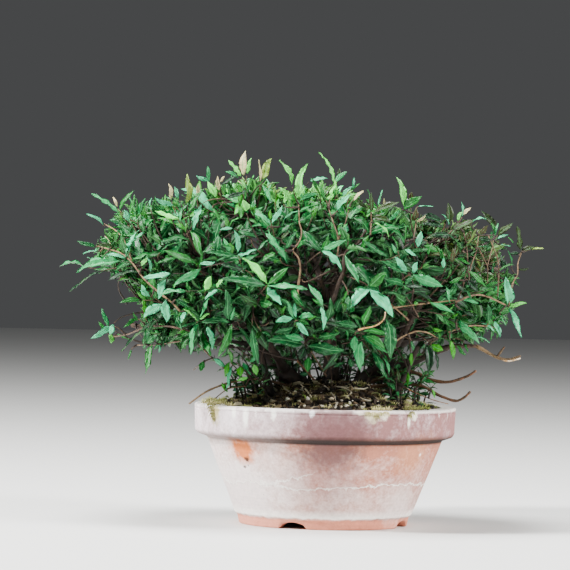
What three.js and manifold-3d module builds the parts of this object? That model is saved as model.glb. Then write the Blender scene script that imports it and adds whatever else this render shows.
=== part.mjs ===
// An Asiatic jasmine grown as a small bonsai in a wide terracotta training pot.
//
// Millimetres, +Z up. The plant and the pot are first laid out about the pot's own axis, with the foot
// at z = 0, the viewer on the -Y side and +X to the viewer's right. At the end the whole is centred over
// its own footprint.
//
// The pot is turned on a wheel, so it is a lathe profile. The soil fills it, over a mesh on the drain hole.
// The wood is one body of stems. The foliage is a set of leafy sprays, each a twig with its shoots and
// leaves, which spring from the nearest stem and end on the surface of a broad, domed crown.

import * as THREE from "three";
import { mergeVertices } from "three/addons/utils/BufferGeometryUtils.js";
import Module from "manifold-3d";

const wasm = await Module();
wasm.setup();

// Clearance between separate pieces that touch
const SEAT_GAP = 0.3;
// Spacing of the grid that every point lies on, so that two points are either one or clearly apart
const GRID = 0.001;
// Least height of a face
const THINNEST = 0.0001;

// Pot: radii and heights of the profile
const POT = {
  sides: 44,
  height: 82,
  rimRadius: 90,
  rimThickness: 12,
  lipRound: 1.6,
  bandFoot: 62.3,
  bandFootRadius: 89.3,
  neckRadius: 81,
  neckHeight: 58.8,
  bellyFootRadius: 61,
  bellyFoot: 7.8,
  footTopRadius: 59,
  footTop: 6,
  footRadius: 57.8,
  footInnerRadius: 49.5,
  recess: 4.6,
  recessDraft: 1,
  floor: 12,
  innerFloorRadius: 53,
  innerNeckRadius: 73,
  holeRadius: 13,
};
// Arched notches across the foot ring
const NOTCH = { count: 4, firstAzimuth: -21.5, halfWidth: 9.7, height: 4.6, length: 21.5, sides: 12 };

// Drainage mesh: a square of plastic net laid over the hole
const SCREEN = { width: 36, openings: 3, bar: 1.8, thickness: 0.9 };

// Soil: a low mound of coarse grains, drawn in a little from the pot's slanting inside
const SOIL = {
  sides: 32,
  rings: 6,
  edgeHeight: 80,
  moundHeight: 97,
  moundRadius: 16,
  grain: 1.3,
  wallGap: 0.4,
};

// Wood: stems through points chosen by eye, each grown out of an earlier one. radii are its two ends'.
const TRUNK_SIDES = 6;
const STEM_SIDES = 4;
const THICK = 5;
const ROOT_CROWN = { radius: 13, topRadius: 8, at: [2, 1], bottom: 60, top: 93, sides: 9 };
const STEMS = [
  {
    name: "main",
    radii: [7, 2.2],
    points: [[3, 2, 88], [4, 3, 112], [0, 1, 146], [8, 4, 172], [14, 2, 196], [12, 0, 210]],
  },
  {
    name: "left",
    radii: [6.2, 1.8],
    points: [
      [-2, 0, 88], [-27, -3, 103], [-45, -4, 120], [-68, -2, 142],
      [-94, 2, 160], [-118, 0, 175], [-138, -4, 182],
    ],
  },
  {
    name: "left_low",
    radii: [3.8, 1.5],
    points: [[-45, -4, 120], [-75, -14, 124], [-106, -16, 130], [-134, -10, 134]],
  },
  {
    name: "left_high",
    radii: [3.6, 1.6],
    points: [[-68, -2, 142], [-84, 6, 170], [-102, 8, 194], [-112, 4, 208]],
  },
  {
    name: "crown_left",
    radii: [4, 1.6],
    points: [[0, 1, 146], [-20, -8, 168], [-40, -12, 192], [-50, -8, 210]],
  },
  {
    name: "back",
    radii: [4.5, 1.8],
    points: [[4, 3, 118], [2, 24, 140], [-4, 46, 164], [-12, 60, 190]],
  },
  {
    name: "right",
    radii: [6.2, 1.8],
    points: [[7, 2, 88], [32, 2, 104], [54, 0, 128], [78, 4, 150], [100, 4, 168], [116, 2, 178]],
  },
  {
    name: "right_low",
    radii: [3.8, 1.4],
    points: [[32, 2, 104], [60, -10, 114], [84, -16, 124], [102, -18, 125]],
  },
  {
    name: "right_high",
    radii: [3.8, 1.6],
    points: [[54, 0, 128], [60, 8, 160], [70, 10, 184], [80, 6, 198]],
  },
  {
    name: "front",
    radii: [3.8, 1.6],
    points: [[4, 3, 112], [6, -22, 128], [0, -46, 146], [-6, -62, 168]],
  },
  {
    name: "front_right",
    radii: [3.6, 1.5],
    points: [[32, 2, 104], [44, -26, 122], [56, -50, 142], [66, -60, 162]],
  },
  {
    name: "front_left",
    radii: [3.6, 1.5],
    points: [[-27, -3, 103], [-38, -30, 122], [-52, -52, 144], [-64, -60, 166]],
  },
  {
    name: "back_left",
    radii: [3.8, 1.5],
    points: [[-45, -4, 120], [-58, 26, 142], [-76, 48, 164], [-92, 56, 182]],
  },
  {
    name: "back_right",
    radii: [3.8, 1.5],
    points: [[54, 0, 128], [54, 28, 146], [62, 50, 164], [74, 58, 182]],
  },
];
// Bare runners, cut back or leafless, that hang out under the crown on the right and at the rim on the left
const RUNNERS = [
  {
    name: "long_runner",
    radii: [1.5, 0.8],
    points: [[102, -18, 125], [116, -20, 118], [124, -21, 116.4], [132, -22, 119]],
  },
  {
    name: "long_runner_stub",
    radii: [1, 0.6],
    points: [[116, -20, 118], [121, -22, 125]],
  },
  {
    name: "middle_runner",
    radii: [1.9, 0.9],
    points: [[18, 2, 94], [54, -6, 106], [72, -10, 101], [84, -14, 100], [96, -16, 104], [102, -18, 108]],
  },
  {
    name: "low_runner",
    radii: [1.9, 0.9],
    points: [[8, -2, 92], [58, -18, 98], [78, -24, 90.6], [88, -26, 87.6], [94, -27, 90], [98, -28, 94]],
  },
  {
    name: "left_runner",
    radii: [1.5, 0.8],
    points: [[-6, -2, 90], [-44, -22, 99], [-70, -34, 92], [-90, -42, 86], [-100, -46, 83]],
  },
];

// Crown: a broad dome, flatter below, that the shoot tips end on. The leaves reach about 12 mm further.
const CROWN = {
  centre: [-19, -2, 158],
  reach: { x: 151, y: 104, up: 83, down: 50 },
  plan: 2.3,
  profile: 2.8,
  underProfile: 2.2,
  lean: -0.06,
  lowest: -0.6,
  rough: 0.07,
};
const GOLDEN_ANGLE = Math.PI * (3 - Math.sqrt(5));
const SPRAYS = 46;
const TIPS = 68;
const TIP_SPACING = 12;
// How strongly a shoot turns upwards, and how far it strays from pointing straight out
const TIP_WAY = { rise: 0.35, stray: 0.7 };
// Depth of the points that the leaders pass, as a share of the crown's reach
const HUB = { depth: 0.6, spread: 0.08 };
// Height above which a leader may leave a stem, and how near the stem's end
const FORK = { lowest: 118, fromEnd: 3 };
// A spray's leader. inner and forkShares are shares of its length; hubShare, sag and tipPull shape its curve.
const LEADER = {
  radius: 1.7,
  inner: [0, 0.45],
  pairs: [0, 2],
  forkShares: [0.4, 0.55, 0.3, 0.5],
  hubShare: 0.8,
  sag: 0.06,
  tipPull: 0.3,
  bendGain: 1.5,
};
// Its side shoots, and what all shoots have in common: the bud's length and the spacing of the leaf pairs
const SHOOT = {
  radius: 1,
  inner: [0],
  pairs: [0, 2],
  leaving: 0.2,
  towardsTip: 0.25,
  tipPull: 0.35,
  taper: 0.3,
  bud: 5,
  nodeSpacing: 7.5,
  aboveKnee: 0.4,
  clearShare: 0.08,
};
// Leaf pairs of a shoot that stands out, counted from its bud
const MARKED_PAIRS = [0, 1, 2];
// Ways, in mm, to bend a stem off its course where it would cross another
const BENDS = [0, 5, 10, 16].flatMap((by) => [
  [0, 0, by],
  [0, 0, -by],
  [by, 0, 0],
  [-by, 0, 0],
  [0, by, 0],
  [0, -by, 0],
]);

// Shoots that stand out in the outline or on the front, by their tip and the way they point
const MARKED_SHOOTS = [
  { tip: [-180, -6, 170], way: [-1, 0, 0.1] },
  { tip: [-154, -14, 131], way: [-1, -0.2, -0.1] },
  { tip: [-121, -28, 112], way: [-0.5, -0.3, -0.6] },
  { tip: [-152, 0, 216], way: [-0.7, 0, 0.7] },
  { tip: [-62, -4, 248], way: [0.1, 0, 1] },
  { tip: [-8, 2, 249], way: [-0.15, 0, 1] },
  { tip: [50, 4, 232], way: [0.05, 0, 1] },
  { tip: [141, 2, 191], way: [0.9, 0, 0.25] },
  { tip: [130, -8, 142], way: [0.7, -0.1, -0.5] },
  { tip: [-40, -92, 158], way: [0, -1, 0.1] },
  { tip: [-21, -86, 137], way: [0.1, -1, 0.35] },
  { tip: [-12, -82, 117], way: [0, -0.9, 0.5] },
  { tip: [31, -88, 152], way: [0.1, -1, -0.1] },
  { tip: [25, -80, 126], way: [0.2, -0.8, -0.6] },
  { tip: [-108, -62, 142], way: [-0.3, -1, 0.1] },
  { tip: [-66, -34, 108], way: [-0.5, -0.5, -0.3] },
  { tip: [62, -32, 110], way: [0.4, -0.5, -0.3] },
];

// Leaf: lance-shaped, ridged along the rib, with a waved margin. Lengths and leans go by age, youngest first;
// vigour and spread vary the length from shoot to shoot and from leaf to leaf, and leanSpread the lean.
const LEAF = {
  lengths: [14, 18, 23, 25],
  vigour: [0.9, 1.2],
  spread: [0.9, 1.1],
  leans: [38, 52, 64, 74],
  leanSpread: 12,
  faceRise: 0.35,
  widthShare: 0.32,
  arch: 0.25,
  droop: 0.1,
  wave: 0.02,
  ribThickness: 1.3,
  stations: [0.17, 0.45, 0.76],
  youngStations: [0.32, 0.68],
};
// Volume in mm3 by which leaves and shoots of one spray may run into each other
const CROSSING = 0.08;
// Turns about the stem and tilts away from it that a leaf tries one after the other, in degrees
const LEAF_WAYS = [[0, 0], [0, -14], [0, 14], [0, 28], [90, 0], [-90, 0], [90, 20], [-90, 20]];

const up = new THREE.Vector3(0, 0, 1);
const vec = (p) => new THREE.Vector3(...p);
const radians = THREE.MathUtils.degToRad;
const lerp = THREE.MathUtils.lerp;

// The same draw between 0 and 1 each time for a pair of whole numbers
function draw(i, k) {
  const s = Math.sin(i * 12.9898 + k * 78.233) * 43758.5453;
  return s - Math.floor(s);
}

// A closed three.js geometry as a solid, its points on the grid
function solidOf(geometry) {
  const bare = geometry.index ? geometry.toNonIndexed() : geometry.clone();
  for (const name of Object.keys(bare.attributes)) {
    if (name !== "position") bare.deleteAttribute(name);
  }
  const positions = bare.attributes.position.array;
  positions.forEach((value, i) => (positions[i] = Math.round(value / GRID) * GRID));
  const merged = mergeVertices(bare, GRID / 10);
  return new wasm.Manifold(
    new wasm.Mesh({
      numProp: 3,
      vertProperties: merged.attributes.position.array,
      triVerts: new Uint32Array(merged.index.array),
    }),
  );
}

// A solid as a three.js geometry
function geometryOf(solid) {
  const { numProp, vertProperties, triVerts, numVert } = solid.getMesh();
  const positions = new Float32Array(numVert * 3);
  for (let i = 0; i < numVert; i++) {
    positions.set(vertProperties.subarray(i * numProp, i * numProp + 3), i * 3);
  }
  return new THREE.BufferGeometry()
    .setAttribute("position", new THREE.BufferAttribute(positions, 3))
    .setIndex(new THREE.BufferAttribute(triVerts, 1));
}

// A solid as a named mesh of the model
function meshOf(name, solid, material) {
  const geometry = geometryOf(solid);
  geometry.computeVertexNormals();
  const mesh = new THREE.Mesh(geometry, material);
  mesh.name = name;
  return mesh;
}

const unionOf = (solids) => wasm.Manifold.union(solids);

// A solid on the grid, without the scraps that a cut or a sliver leaves
function mainBody(solid) {
  const bodies = solidOf(geometryOf(solid)).decompose();
  return bodies.sort((a, b) => b.volume() - a.volume())[0];
}

// Whether a solid has no needle-thin face, and no two edges on each other, as they lie where it pinches shut
function isSound(solid) {
  const { attributes, index } = mergeVertices(geometryOf(solid), GRID / 10);
  const edges = new Set();
  for (let i = 0; i < index.count; i += 3) {
    const corners = [0, 1, 2].map((k) => index.getX(i + k));
    corners.forEach((corner, k) => edges.add(corner * attributes.position.count + corners[(k + 1) % 3]));
    const points = corners.map((corner) => vec([0, 0, 0]).fromBufferAttribute(attributes.position, corner));
    const longest = Math.max(...points.map((point, k) => point.distanceTo(points[(k + 1) % 3])));
    if ((2 * new THREE.Triangle(...points).getArea()) / longest < THINNEST) return false;
  }
  return edges.size === index.count;
}

// Two solids fused on the grid, or nothing where that pinches or leaves the second one loose
function fused(first, second) {
  const whole = mainBody(first.add(second));
  const held = whole.volume() > first.volume() + second.volume() / 2;
  return held && isSound(whole) ? whole : null;
}

// A leaf's half width at a share of its length, 1 at its widest
const leafProfile = (t) => (t ** 0.75 * (1 - t) ** 0.85) / 0.331;

// Points and frames along a curve at the given shares of its length, the last frame turned into each next one
function stemFrames(curve, shares, roll = 0) {
  const tangents = shares.map((share) => curve.getTangentAt(share));
  const normal = up.clone().cross(tangents[0]);
  if (normal.length() < 0.1) normal.set(1, 0, 0);
  normal.addScaledVector(tangents[0], -normal.dot(tangents[0])).normalize();
  normal.applyAxisAngle(tangents[0], radians(roll));
  return tangents.map((tangent, k) => {
    const before = tangents[Math.max(k - 1, 0)];
    normal.applyQuaternion(new THREE.Quaternion().setFromUnitVectors(before, tangent));
    return {
      point: curve.getPointAt(shares[k]),
      normal: normal.clone(),
      binormal: tangent.clone().cross(normal),
    };
  });
}

// A prism bent along a curve, with a ring at each share and its radius there given by taper.
// Its flats, not its corners, look along the frames. It runs beyond both of the curve's ends by that much.
function bentStem(curve, taper, sides, shares, { roll = 0, beyond = 0 } = {}) {
  const geometry = new THREE.CylinderGeometry(1, 1, 1, sides, shares.length - 1).rotateY(Math.PI / sides);
  const frames = stemFrames(curve, shares, roll);
  frames[0].point.addScaledVector(curve.getTangentAt(0), -beyond);
  frames.at(-1).point.addScaledVector(curve.getTangentAt(1), beyond);
  const position = geometry.attributes.position;
  for (let i = 0; i < position.count; i++) {
    const k = Math.round((position.getY(i) + 0.5) * (shares.length - 1));
    const point = frames[k].point
      .clone()
      .addScaledVector(frames[k].normal, position.getX(i) * taper(shares[k]))
      .addScaledVector(frames[k].binormal, -position.getZ(i) * taper(shares[k]));
    position.setXYZ(i, point.x, point.y, point.z);
  }
  return solidOf(geometry);
}

const evenShares = (steps) => Array.from({ length: steps + 1 }, (_, k) => k / steps);

// Pot
function makePot() {
  const p = POT;
  const profile = [
    [p.holeRadius, p.recess],
    [p.footInnerRadius - p.recessDraft, p.recess],
    [p.footInnerRadius, 0],
    [p.footRadius, 0],
    [p.footTopRadius, p.footTop],
    [p.bellyFootRadius, p.bellyFoot],
    [p.neckRadius, p.neckHeight],
    [p.bandFootRadius - p.lipRound, p.bandFoot - p.lipRound / 2],
    [p.bandFootRadius, p.bandFoot + p.lipRound],
    [p.rimRadius, p.height - p.lipRound],
    [p.rimRadius - p.lipRound, p.height],
    [p.rimRadius - p.rimThickness, p.height],
    [p.innerNeckRadius, p.neckHeight],
    [p.innerFloorRadius, p.floor],
    [p.holeRadius, p.floor],
    [p.holeRadius, p.recess],
  ].map(([r, z]) => new THREE.Vector2(r, z));
  const turned = new THREE.LatheGeometry(profile, p.sides).rotateX(Math.PI / 2);
  const notches = [];
  for (let i = 0; i < NOTCH.count; i++) {
    const arch = new THREE.CylinderGeometry(NOTCH.halfWidth, NOTCH.halfWidth, NOTCH.length, NOTCH.sides)
      .scale(1, 1, NOTCH.height / NOTCH.halfWidth)
      .translate(0, -(p.footInnerRadius + p.footTopRadius) / 2, 0)
      .rotateZ(radians(NOTCH.firstAzimuth + (i * 360) / NOTCH.count));
    notches.push(solidOf(arch));
  }
  return solidOf(turned).subtract(unionOf(notches));
}

// Drainage mesh: a thin square plate with rows of square openings
function makeScreen() {
  const { width, openings, bar, thickness } = SCREEN;
  const pitch = (width - bar) / openings;
  const offset = (row) => (row - (openings - 1) / 2) * pitch;
  const cutters = [];
  for (let i = 0; i < openings * openings; i++) {
    const [x, y] = [offset(i % openings), offset(Math.floor(i / openings))];
    const cutter = new THREE.BoxGeometry(pitch - bar, pitch - bar, 2 * thickness).translate(x, y, 0);
    cutters.push(solidOf(cutter));
  }
  const plate = solidOf(new THREE.BoxGeometry(width, width, thickness)).subtract(unionOf(cutters));
  return plate.translate([0, 0, POT.floor + SEAT_GAP + thickness / 2]);
}

// Height of the soil at a distance from the pot's axis, before its grains
function soilHeight(radius) {
  const edge = POT.rimRadius - POT.rimThickness;
  const share = THREE.MathUtils.clamp((radius - SOIL.moundRadius) / (edge - SOIL.moundRadius), 0, 1);
  const fall = (share + THREE.MathUtils.smoothstep(share, 0, 1)) / 2;
  return lerp(SOIL.moundHeight, SOIL.edgeHeight, fall);
}

// Soil: a lathe that follows the pot's inside, with its top raised into grains, and a pocket over the mesh
function makeSoil(swollenWood) {
  const p = POT;
  const upShare = (SOIL.edgeHeight - p.neckHeight) / (p.height - p.neckHeight);
  const edgeRadius = lerp(p.innerNeckRadius, p.rimRadius - p.rimThickness, upShare) - SOIL.wallGap;
  const base = p.floor + SEAT_GAP;
  const profile = [
    new THREE.Vector2(0, base),
    new THREE.Vector2(p.innerFloorRadius - SOIL.wallGap, base),
    new THREE.Vector2(p.innerNeckRadius - SOIL.wallGap, p.neckHeight),
  ];
  for (let ring = SOIL.rings; ring >= 0; ring--) {
    const radius = (edgeRadius * ring) / SOIL.rings;
    profile.push(new THREE.Vector2(radius, soilHeight(radius)));
  }
  const turned = new THREE.LatheGeometry(profile, SOIL.sides).rotateX(Math.PI / 2);
  const position = turned.attributes.position;
  for (let i = 0; i < position.count; i++) {
    const [x, y, z] = [position.getX(i), position.getY(i), position.getZ(i)];
    const onTop = z > SOIL.edgeHeight && Math.hypot(x, y) < edgeRadius - 1;
    const bump = 2 * SOIL.grain * (draw(Math.round(x * 2), Math.round(y * 2)) - 0.5);
    if (onTop) position.setZ(i, z + bump);
  }
  const pocket = SCREEN.width + 2 * SEAT_GAP;
  const pocketDepth = SCREEN.thickness + SEAT_GAP;
  const over = new THREE.BoxGeometry(pocket, pocket, 2 * pocketDepth).translate(0, 0, base);
  return mainBody(solidOf(turned).subtract(solidOf(over)).subtract(swollenWood));
}

// Wood
// The curve, its ring shares and its number of sides, for one stem of the tables
function stemCourse({ radii, points }) {
  const curve = new THREE.CatmullRomCurve3(points.map(vec), false, "catmullrom", 0.5);
  const sides = radii[0] > THICK ? TRUNK_SIDES : STEM_SIDES;
  return { curve, shares: evenShares(points.length), sides };
}

// One stem, swollen by extra all round and at its ends
function makeStem(stem, extra) {
  const { curve, shares, sides } = stemCourse(stem);
  const swell = extra / Math.cos(Math.PI / sides);
  const taper = (share) => lerp(stem.radii[0], stem.radii[1], share) + swell;
  return bentStem(curve, taper, sides, shares, { beyond: extra });
}

// The whole wood as one body. extra swells it, for the clearance that other pieces keep.
function makeWood(extra = 0) {
  const { radius, topRadius, at, bottom, top, sides } = ROOT_CROWN;
  const height = top - bottom + 2 * extra;
  const rootCrown = new THREE.CylinderGeometry(topRadius + extra, radius + extra, height, sides)
    .rotateX(Math.PI / 2)
    .translate(at[0], at[1], (top + bottom) / 2);
  return unionOf([solidOf(rootCrown), ...[...STEMS, ...RUNNERS].map((stem) => makeStem(stem, extra))]);
}

// The straight runs of every stem's axis, from ring to ring, that a leader can spring from
function stemRuns() {
  return STEMS.flatMap((stem) => {
    const { curve, shares } = stemCourse(stem);
    const last = 1 - FORK.fromEnd / curve.getLength();
    const ends = shares.map((share) => curve.getPointAt(Math.min(share, last)));
    return ends.slice(1).map((end, k) => new THREE.Line3(ends[k], end));
  });
}

// The point of the crown's surface that a unit direction from its centre meets, shrunk by scale
function crownPoint(direction, scale) {
  const { centre, reach, plan, profile, underProfile, lean } = CROWN;
  const rising = direction.z > 0;
  const [x, y] = [Math.abs(direction.x) / reach.x, Math.abs(direction.y) / reach.y];
  const height = Math.abs(direction.z) / (rising ? reach.up : reach.down);
  const across = (x ** plan + y ** plan) ** (1 / plan);
  const power = rising ? profile : underProfile;
  const radius = scale / (across ** power + height ** power) ** (1 / power);
  const offset = direction.clone().multiplyScalar(radius);
  if (rising) offset.z += (lean * offset.x * offset.z) / reach.up;
  return offset.add(vec(centre));
}

// The i-th of count directions spread evenly over the crown, on a golden-angle spiral from its top down
function spiralDirection(i, count) {
  const height = 1 - ((i + 0.5) / count) * (1 - CROWN.lowest);
  const across = Math.sqrt(1 - height * height);
  const azimuth = i * GOLDEN_ANGLE;
  const { x, y, up: rise, down } = CROWN.reach;
  return new THREE.Vector3(
    across * Math.cos(azimuth) * x,
    across * Math.sin(azimuth) * y,
    height * (height > 0 ? rise : down),
  ).normalize();
}

// The direction of a point from the crown's centre, with the crown's reach taken as one all round
function outwardOf(point) {
  const { centre, reach } = CROWN;
  const offset = point.clone().sub(vec(centre));
  return offset.divide(new THREE.Vector3(reach.x, reach.y, offset.z > 0 ? reach.up : reach.down)).normalize();
}

// Every shoot's tip and the way it points: those marked by hand, then those of the spiral
function shootTips() {
  const tips = MARKED_SHOOTS.map(({ tip, way }) => ({ tip: vec(tip), way: vec(way).normalize() }));
  for (let i = 0; i < TIPS; i++) {
    const tip = crownPoint(spiralDirection(i, TIPS), 1 - CROWN.rough * draw(i, 1));
    if (tips.some((other) => other.tip.distanceTo(tip) < TIP_SPACING)) continue;
    const stray = vec([draw(i, 2), draw(i, 3), draw(i, 4)]).subScalar(0.5);
    const way = outwardOf(tip).addScaledVector(up, TIP_WAY.rise).addScaledVector(stray, TIP_WAY.stray);
    tips.push({ tip, way: way.normalize() });
  }
  return tips.map((shoot, index) => ({ ...shoot, index, marked: index < MARKED_SHOOTS.length }));
}

// Hubs, each with the tips that lie more in its direction than in any other's
function sprayPlan() {
  const hubs = [];
  for (let i = 0; i < SPRAYS; i++) {
    const hub = crownPoint(spiralDirection(i, SPRAYS), HUB.depth + HUB.spread * draw(i, 5));
    hubs.push({ hub, tips: [], sides: [] });
  }
  for (const shoot of shootTips()) {
    const alike = hubs.map(({ hub }) => outwardOf(hub).dot(outwardOf(shoot.tip)));
    hubs[alike.indexOf(Math.max(...alike))].tips.push(shoot);
  }
  return hubs.filter(({ tips }) => tips.length > 0);
}

// Where a spray's leader starts: the nearest point of any stem to its hub, above the stems' thick feet
function nearestFork(hub) {
  const starts = stemRuns().map((run) => run.closestPointToPoint(hub, true, new THREE.Vector3()));
  const distances = starts.map((start) => (start.z < FORK.lowest ? Infinity : start.distanceTo(hub)));
  return starts[distances.indexOf(Math.min(...distances))];
}

// Solids already placed, each with its box and the spray it belongs to
const placed = [];
const place = (solid, spray = null) => placed.push({ solid, box: solid.boundingBox(), spray });

// Whether a solid keeps its clearance from the other sprays and pieces, and barely crosses its own spray.
// onto is the stem that it grows from. Only what lies within 1 mm of its box is looked at.
function isClear(solid, spray, onto) {
  const { min, max } = solid.boundingBox();
  const near = ({ box }) => [0, 1, 2].every((k) => box.min[k] < max[k] + 1 && box.max[k] > min[k] - 1);
  return placed.filter(near).every((other) => {
    if (other.solid === onto) return true;
    if (other.spray === spray) return solid.intersect(other.solid).volume() < CROSSING;
    return solid.minGap(other.solid, 1) >= SEAT_GAP;
  });
}

// One blade: a lance shape with a ridged upper face and a flat lower one, waved up and down along its length.
// Its rings are left margin, rib and right margin, and it comes to a point at both ends.
function bladeGeometry(base, direction, face, length, stations) {
  const side = new THREE.Vector3().crossVectors(face, direction).normalize();
  const at = (along, across, rise) =>
    base.clone().addScaledVector(direction, along).addScaledVector(side, across).addScaledVector(face, rise);
  const arch = (t) => LEAF.arch * length * t * (1 - t) - LEAF.droop * length * t * t;
  const points = [at(0, 0, 0)];
  stations.forEach((t, k) => {
    const half = 0.5 * LEAF.widthShare * length * leafProfile(t);
    const margin = arch(t) + (k % 2 ? -1 : 1) * LEAF.wave * length;
    points.push(at(t * length, half, margin));
    points.push(at(t * length, 0, arch(t) + LEAF.ribThickness));
    points.push(at(t * length, -half, margin));
  });
  points.push(at(length, 0, arch(1)));
  const tip = points.length - 1;
  const ring = (k) => [3 * k + 1, 3 * k + 2, 3 * k + 3];
  const faces = [];
  for (const [p, q] of [[0, 1], [1, 2], [2, 0]]) {
    faces.push([0, ring(0)[q], ring(0)[p]]);
    for (let k = 1; k < stations.length; k++) {
      const [a, b] = [ring(k - 1), ring(k)];
      faces.push([a[p], b[q], b[p]], [a[p], a[q], b[q]]);
    }
    const last = ring(stations.length - 1);
    faces.push([last[p], last[q], tip]);
  }
  return new THREE.BufferGeometry().setFromPoints(points).setIndex(faces.flat());
}

// The leaves of one shoot: opposite pairs, each pair a quarter turn from the last.
// A leaf that would cross another leans or turns another way, or is left out.
function addLeaves(spray, { index, nodes, solid: stem }) {
  const vigour = lerp(...LEAF.vigour, draw(index, 10));
  for (const { pair, point, along, normal } of nodes) {
    const stations = pair === 0 ? LEAF.youngStations : LEAF.stations;
    for (const half of [0, 1]) {
      const key = 20 + pair * 2 + half;
      const length = LEAF.lengths[pair] * vigour * lerp(...LEAF.spread, draw(index, key));
      for (const [turn, tilt] of LEAF_WAYS) {
        const stray = LEAF.leanSpread * (draw(index, key + 30) - 0.5);
        const lean = radians(LEAF.leans[pair] + stray + tilt);
        const outward = normal.clone().applyAxisAngle(along, radians(90 * pair + 180 * half + turn));
        const direction = along.clone().multiplyScalar(Math.cos(lean));
        direction.addScaledVector(outward, Math.sin(lean));
        const face = along.clone().addScaledVector(up, LEAF.faceRise);
        face.addScaledVector(direction, -face.dot(direction)).normalize();
        const solid = solidOf(bladeGeometry(point, direction, face, length, stations));
        const whole = isClear(solid, spray, stem) && fused(spray.whole, solid);
        if (!whole) continue;
        spray.whole = whole;
        place(solid, spray);
        break;
      }
    }
  }
}

// A shoot's stem with a knee just below each pair of leaves, and where those pairs stand on it
function shootStem(curve, { radius, inner, pairs: usual }, { index, marked }) {
  const length = curve.getLength();
  const kneeShare = (pair) => 1 - (SHOOT.bud + pair * SHOOT.nodeSpacing) / length;
  const pairs = marked ? MARKED_PAIRS : usual;
  const kept = pairs.filter((pair) => kneeShare(pair) > inner.at(-1) + SHOOT.clearShare);
  const shares = [...inner, ...kept.map(kneeShare).reverse(), 1];
  const roll = 360 * draw(index, 11);
  const taper = (share) => radius * (1 - share) ** SHOOT.taper;
  const solid = bentStem(curve, taper, STEM_SIDES, shares, { roll });
  const frames = stemFrames(curve, shares, roll);
  const nodes = kept.map((pair, order) => {
    const [knee, next] = frames.slice(-2 - order);
    const along = next.point.clone().sub(knee.point).normalize();
    const normal = knee.normal.clone().addScaledVector(along, -knee.normal.dot(along)).normalize();
    return { pair, point: knee.point.clone().addScaledVector(along, SHOOT.aboveKnee), along, normal };
  });
  return { index, curve, solid, nodes };
}

// The first of a stem's bends that is accepted, with the body that accepting it makes
function firstAccepted(make, accept) {
  for (const bend of BENDS) {
    const stem = make(vec(bend));
    const whole = accept(stem.solid);
    if (whole) return { stem, whole };
  }
  return {};
}

// A spray's leader: from the nearest stem out past the hub to the spray's first tip
function addLeader(spray, wood, swollenWood) {
  const { hub, tips } = spray;
  const { tip, way } = tips[0];
  const start = nearestFork(hub);
  const reach = start.distanceTo(tip);
  const make = (bend) => {
    const towardsHub = start.clone().lerp(hub, LEADER.hubShare).addScaledVector(up, -LEADER.sag * reach);
    towardsHub.addScaledVector(bend, LEADER.bendGain);
    const beforeTip = tip.clone().addScaledVector(way, -LEADER.tipPull * reach).add(bend);
    const curve = new THREE.CubicBezierCurve3(start, towardsHub, beforeTip, tip);
    const stem = shootStem(curve, LEADER, tips[0]);
    return { ...stem, solid: stem.solid.subtract(swollenWood) };
  };
  const accept = (solid) => {
    if (solid.decompose().length > 1 || !isClear(solid, spray, wood)) return null;
    const whole = mainBody(solid);
    return isSound(whole) ? whole : null;
  };
  const { stem, whole } = firstAccepted(make, accept);
  if (!stem) return;
  spray.leader = stem;
  spray.whole = whole;
  place(stem.solid, spray);
}

// A side shoot from a share of the leader's length to its own tip
function sideStem(leader, share, shoot, bend) {
  const foot = leader.curve.getPointAt(share);
  const reach = foot.distanceTo(shoot.tip);
  const leaving = leader.curve.getTangentAt(share).setLength(SHOOT.leaving * reach);
  const curve = new THREE.CubicBezierCurve3(
    foot,
    foot.clone().add(leaving).lerp(shoot.tip, SHOOT.towardsTip).add(bend),
    shoot.tip.clone().addScaledVector(shoot.way, -SHOOT.tipPull * reach).add(bend),
    shoot.tip,
  );
  return shootStem(curve, SHOOT, shoot);
}

// A spray's side shoots, from its leader to its other tips, each at the first fork where it stays clear
function addSides(spray) {
  const { leader, tips, sides } = spray;
  const accept = (solid) => isClear(solid, spray, leader.solid) && fused(spray.whole, solid);
  for (const shoot of tips.slice(1)) {
    const turn = sides.length % LEADER.forkShares.length;
    for (const share of [...LEADER.forkShares.slice(turn), ...LEADER.forkShares.slice(0, turn)]) {
      const { stem, whole } = firstAccepted((bend) => sideStem(leader, share, shoot, bend), accept);
      if (!stem) continue;
      spray.whole = whole;
      sides.push(stem);
      place(stem.solid, spray);
      break;
    }
  }
}

const materials = {
  terracotta: new THREE.MeshStandardMaterial({ color: 0xd0a797, roughness: 0.9, metalness: 0 }),
  soil: new THREE.MeshStandardMaterial({ color: 0x3a3226, roughness: 1, metalness: 0 }),
  screen: new THREE.MeshStandardMaterial({ color: 0x1f2422, roughness: 0.6, metalness: 0 }),
  bark: new THREE.MeshStandardMaterial({ color: 0x6a5140, roughness: 0.9, metalness: 0 }),
  leaf: new THREE.MeshStandardMaterial({ color: 0x3f7d4e, roughness: 0.45, metalness: 0 }),
};

const model = new THREE.Group();
const wood = mainBody(makeWood());
const swollenWood = makeWood(SEAT_GAP);
const pot = makePot();
const soil = makeSoil(swollenWood);
for (const piece of [pot, soil, wood]) place(piece);
model.add(meshOf("pot", pot, materials.terracotta));
model.add(meshOf("drainage_mesh", makeScreen(), materials.screen));
model.add(meshOf("soil", soil, materials.soil));
model.add(meshOf("wood", wood, materials.bark));

// All leaders come first, then their leaves, then the side shoots and theirs
const planned = sprayPlan();
for (const spray of planned) addLeader(spray, wood, swollenWood);
const sprays = planned.filter(({ leader }) => leader);
for (const spray of sprays) addLeaves(spray, spray.leader);
for (const spray of sprays) addSides(spray);
for (const spray of sprays) spray.sides.forEach((side) => addLeaves(spray, side));
for (const [i, spray] of sprays.entries()) {
  const name = `spray_${String(i + 1).padStart(2, "0")}`;
  model.add(meshOf(name, spray.whole, materials.leaf));
}

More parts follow.
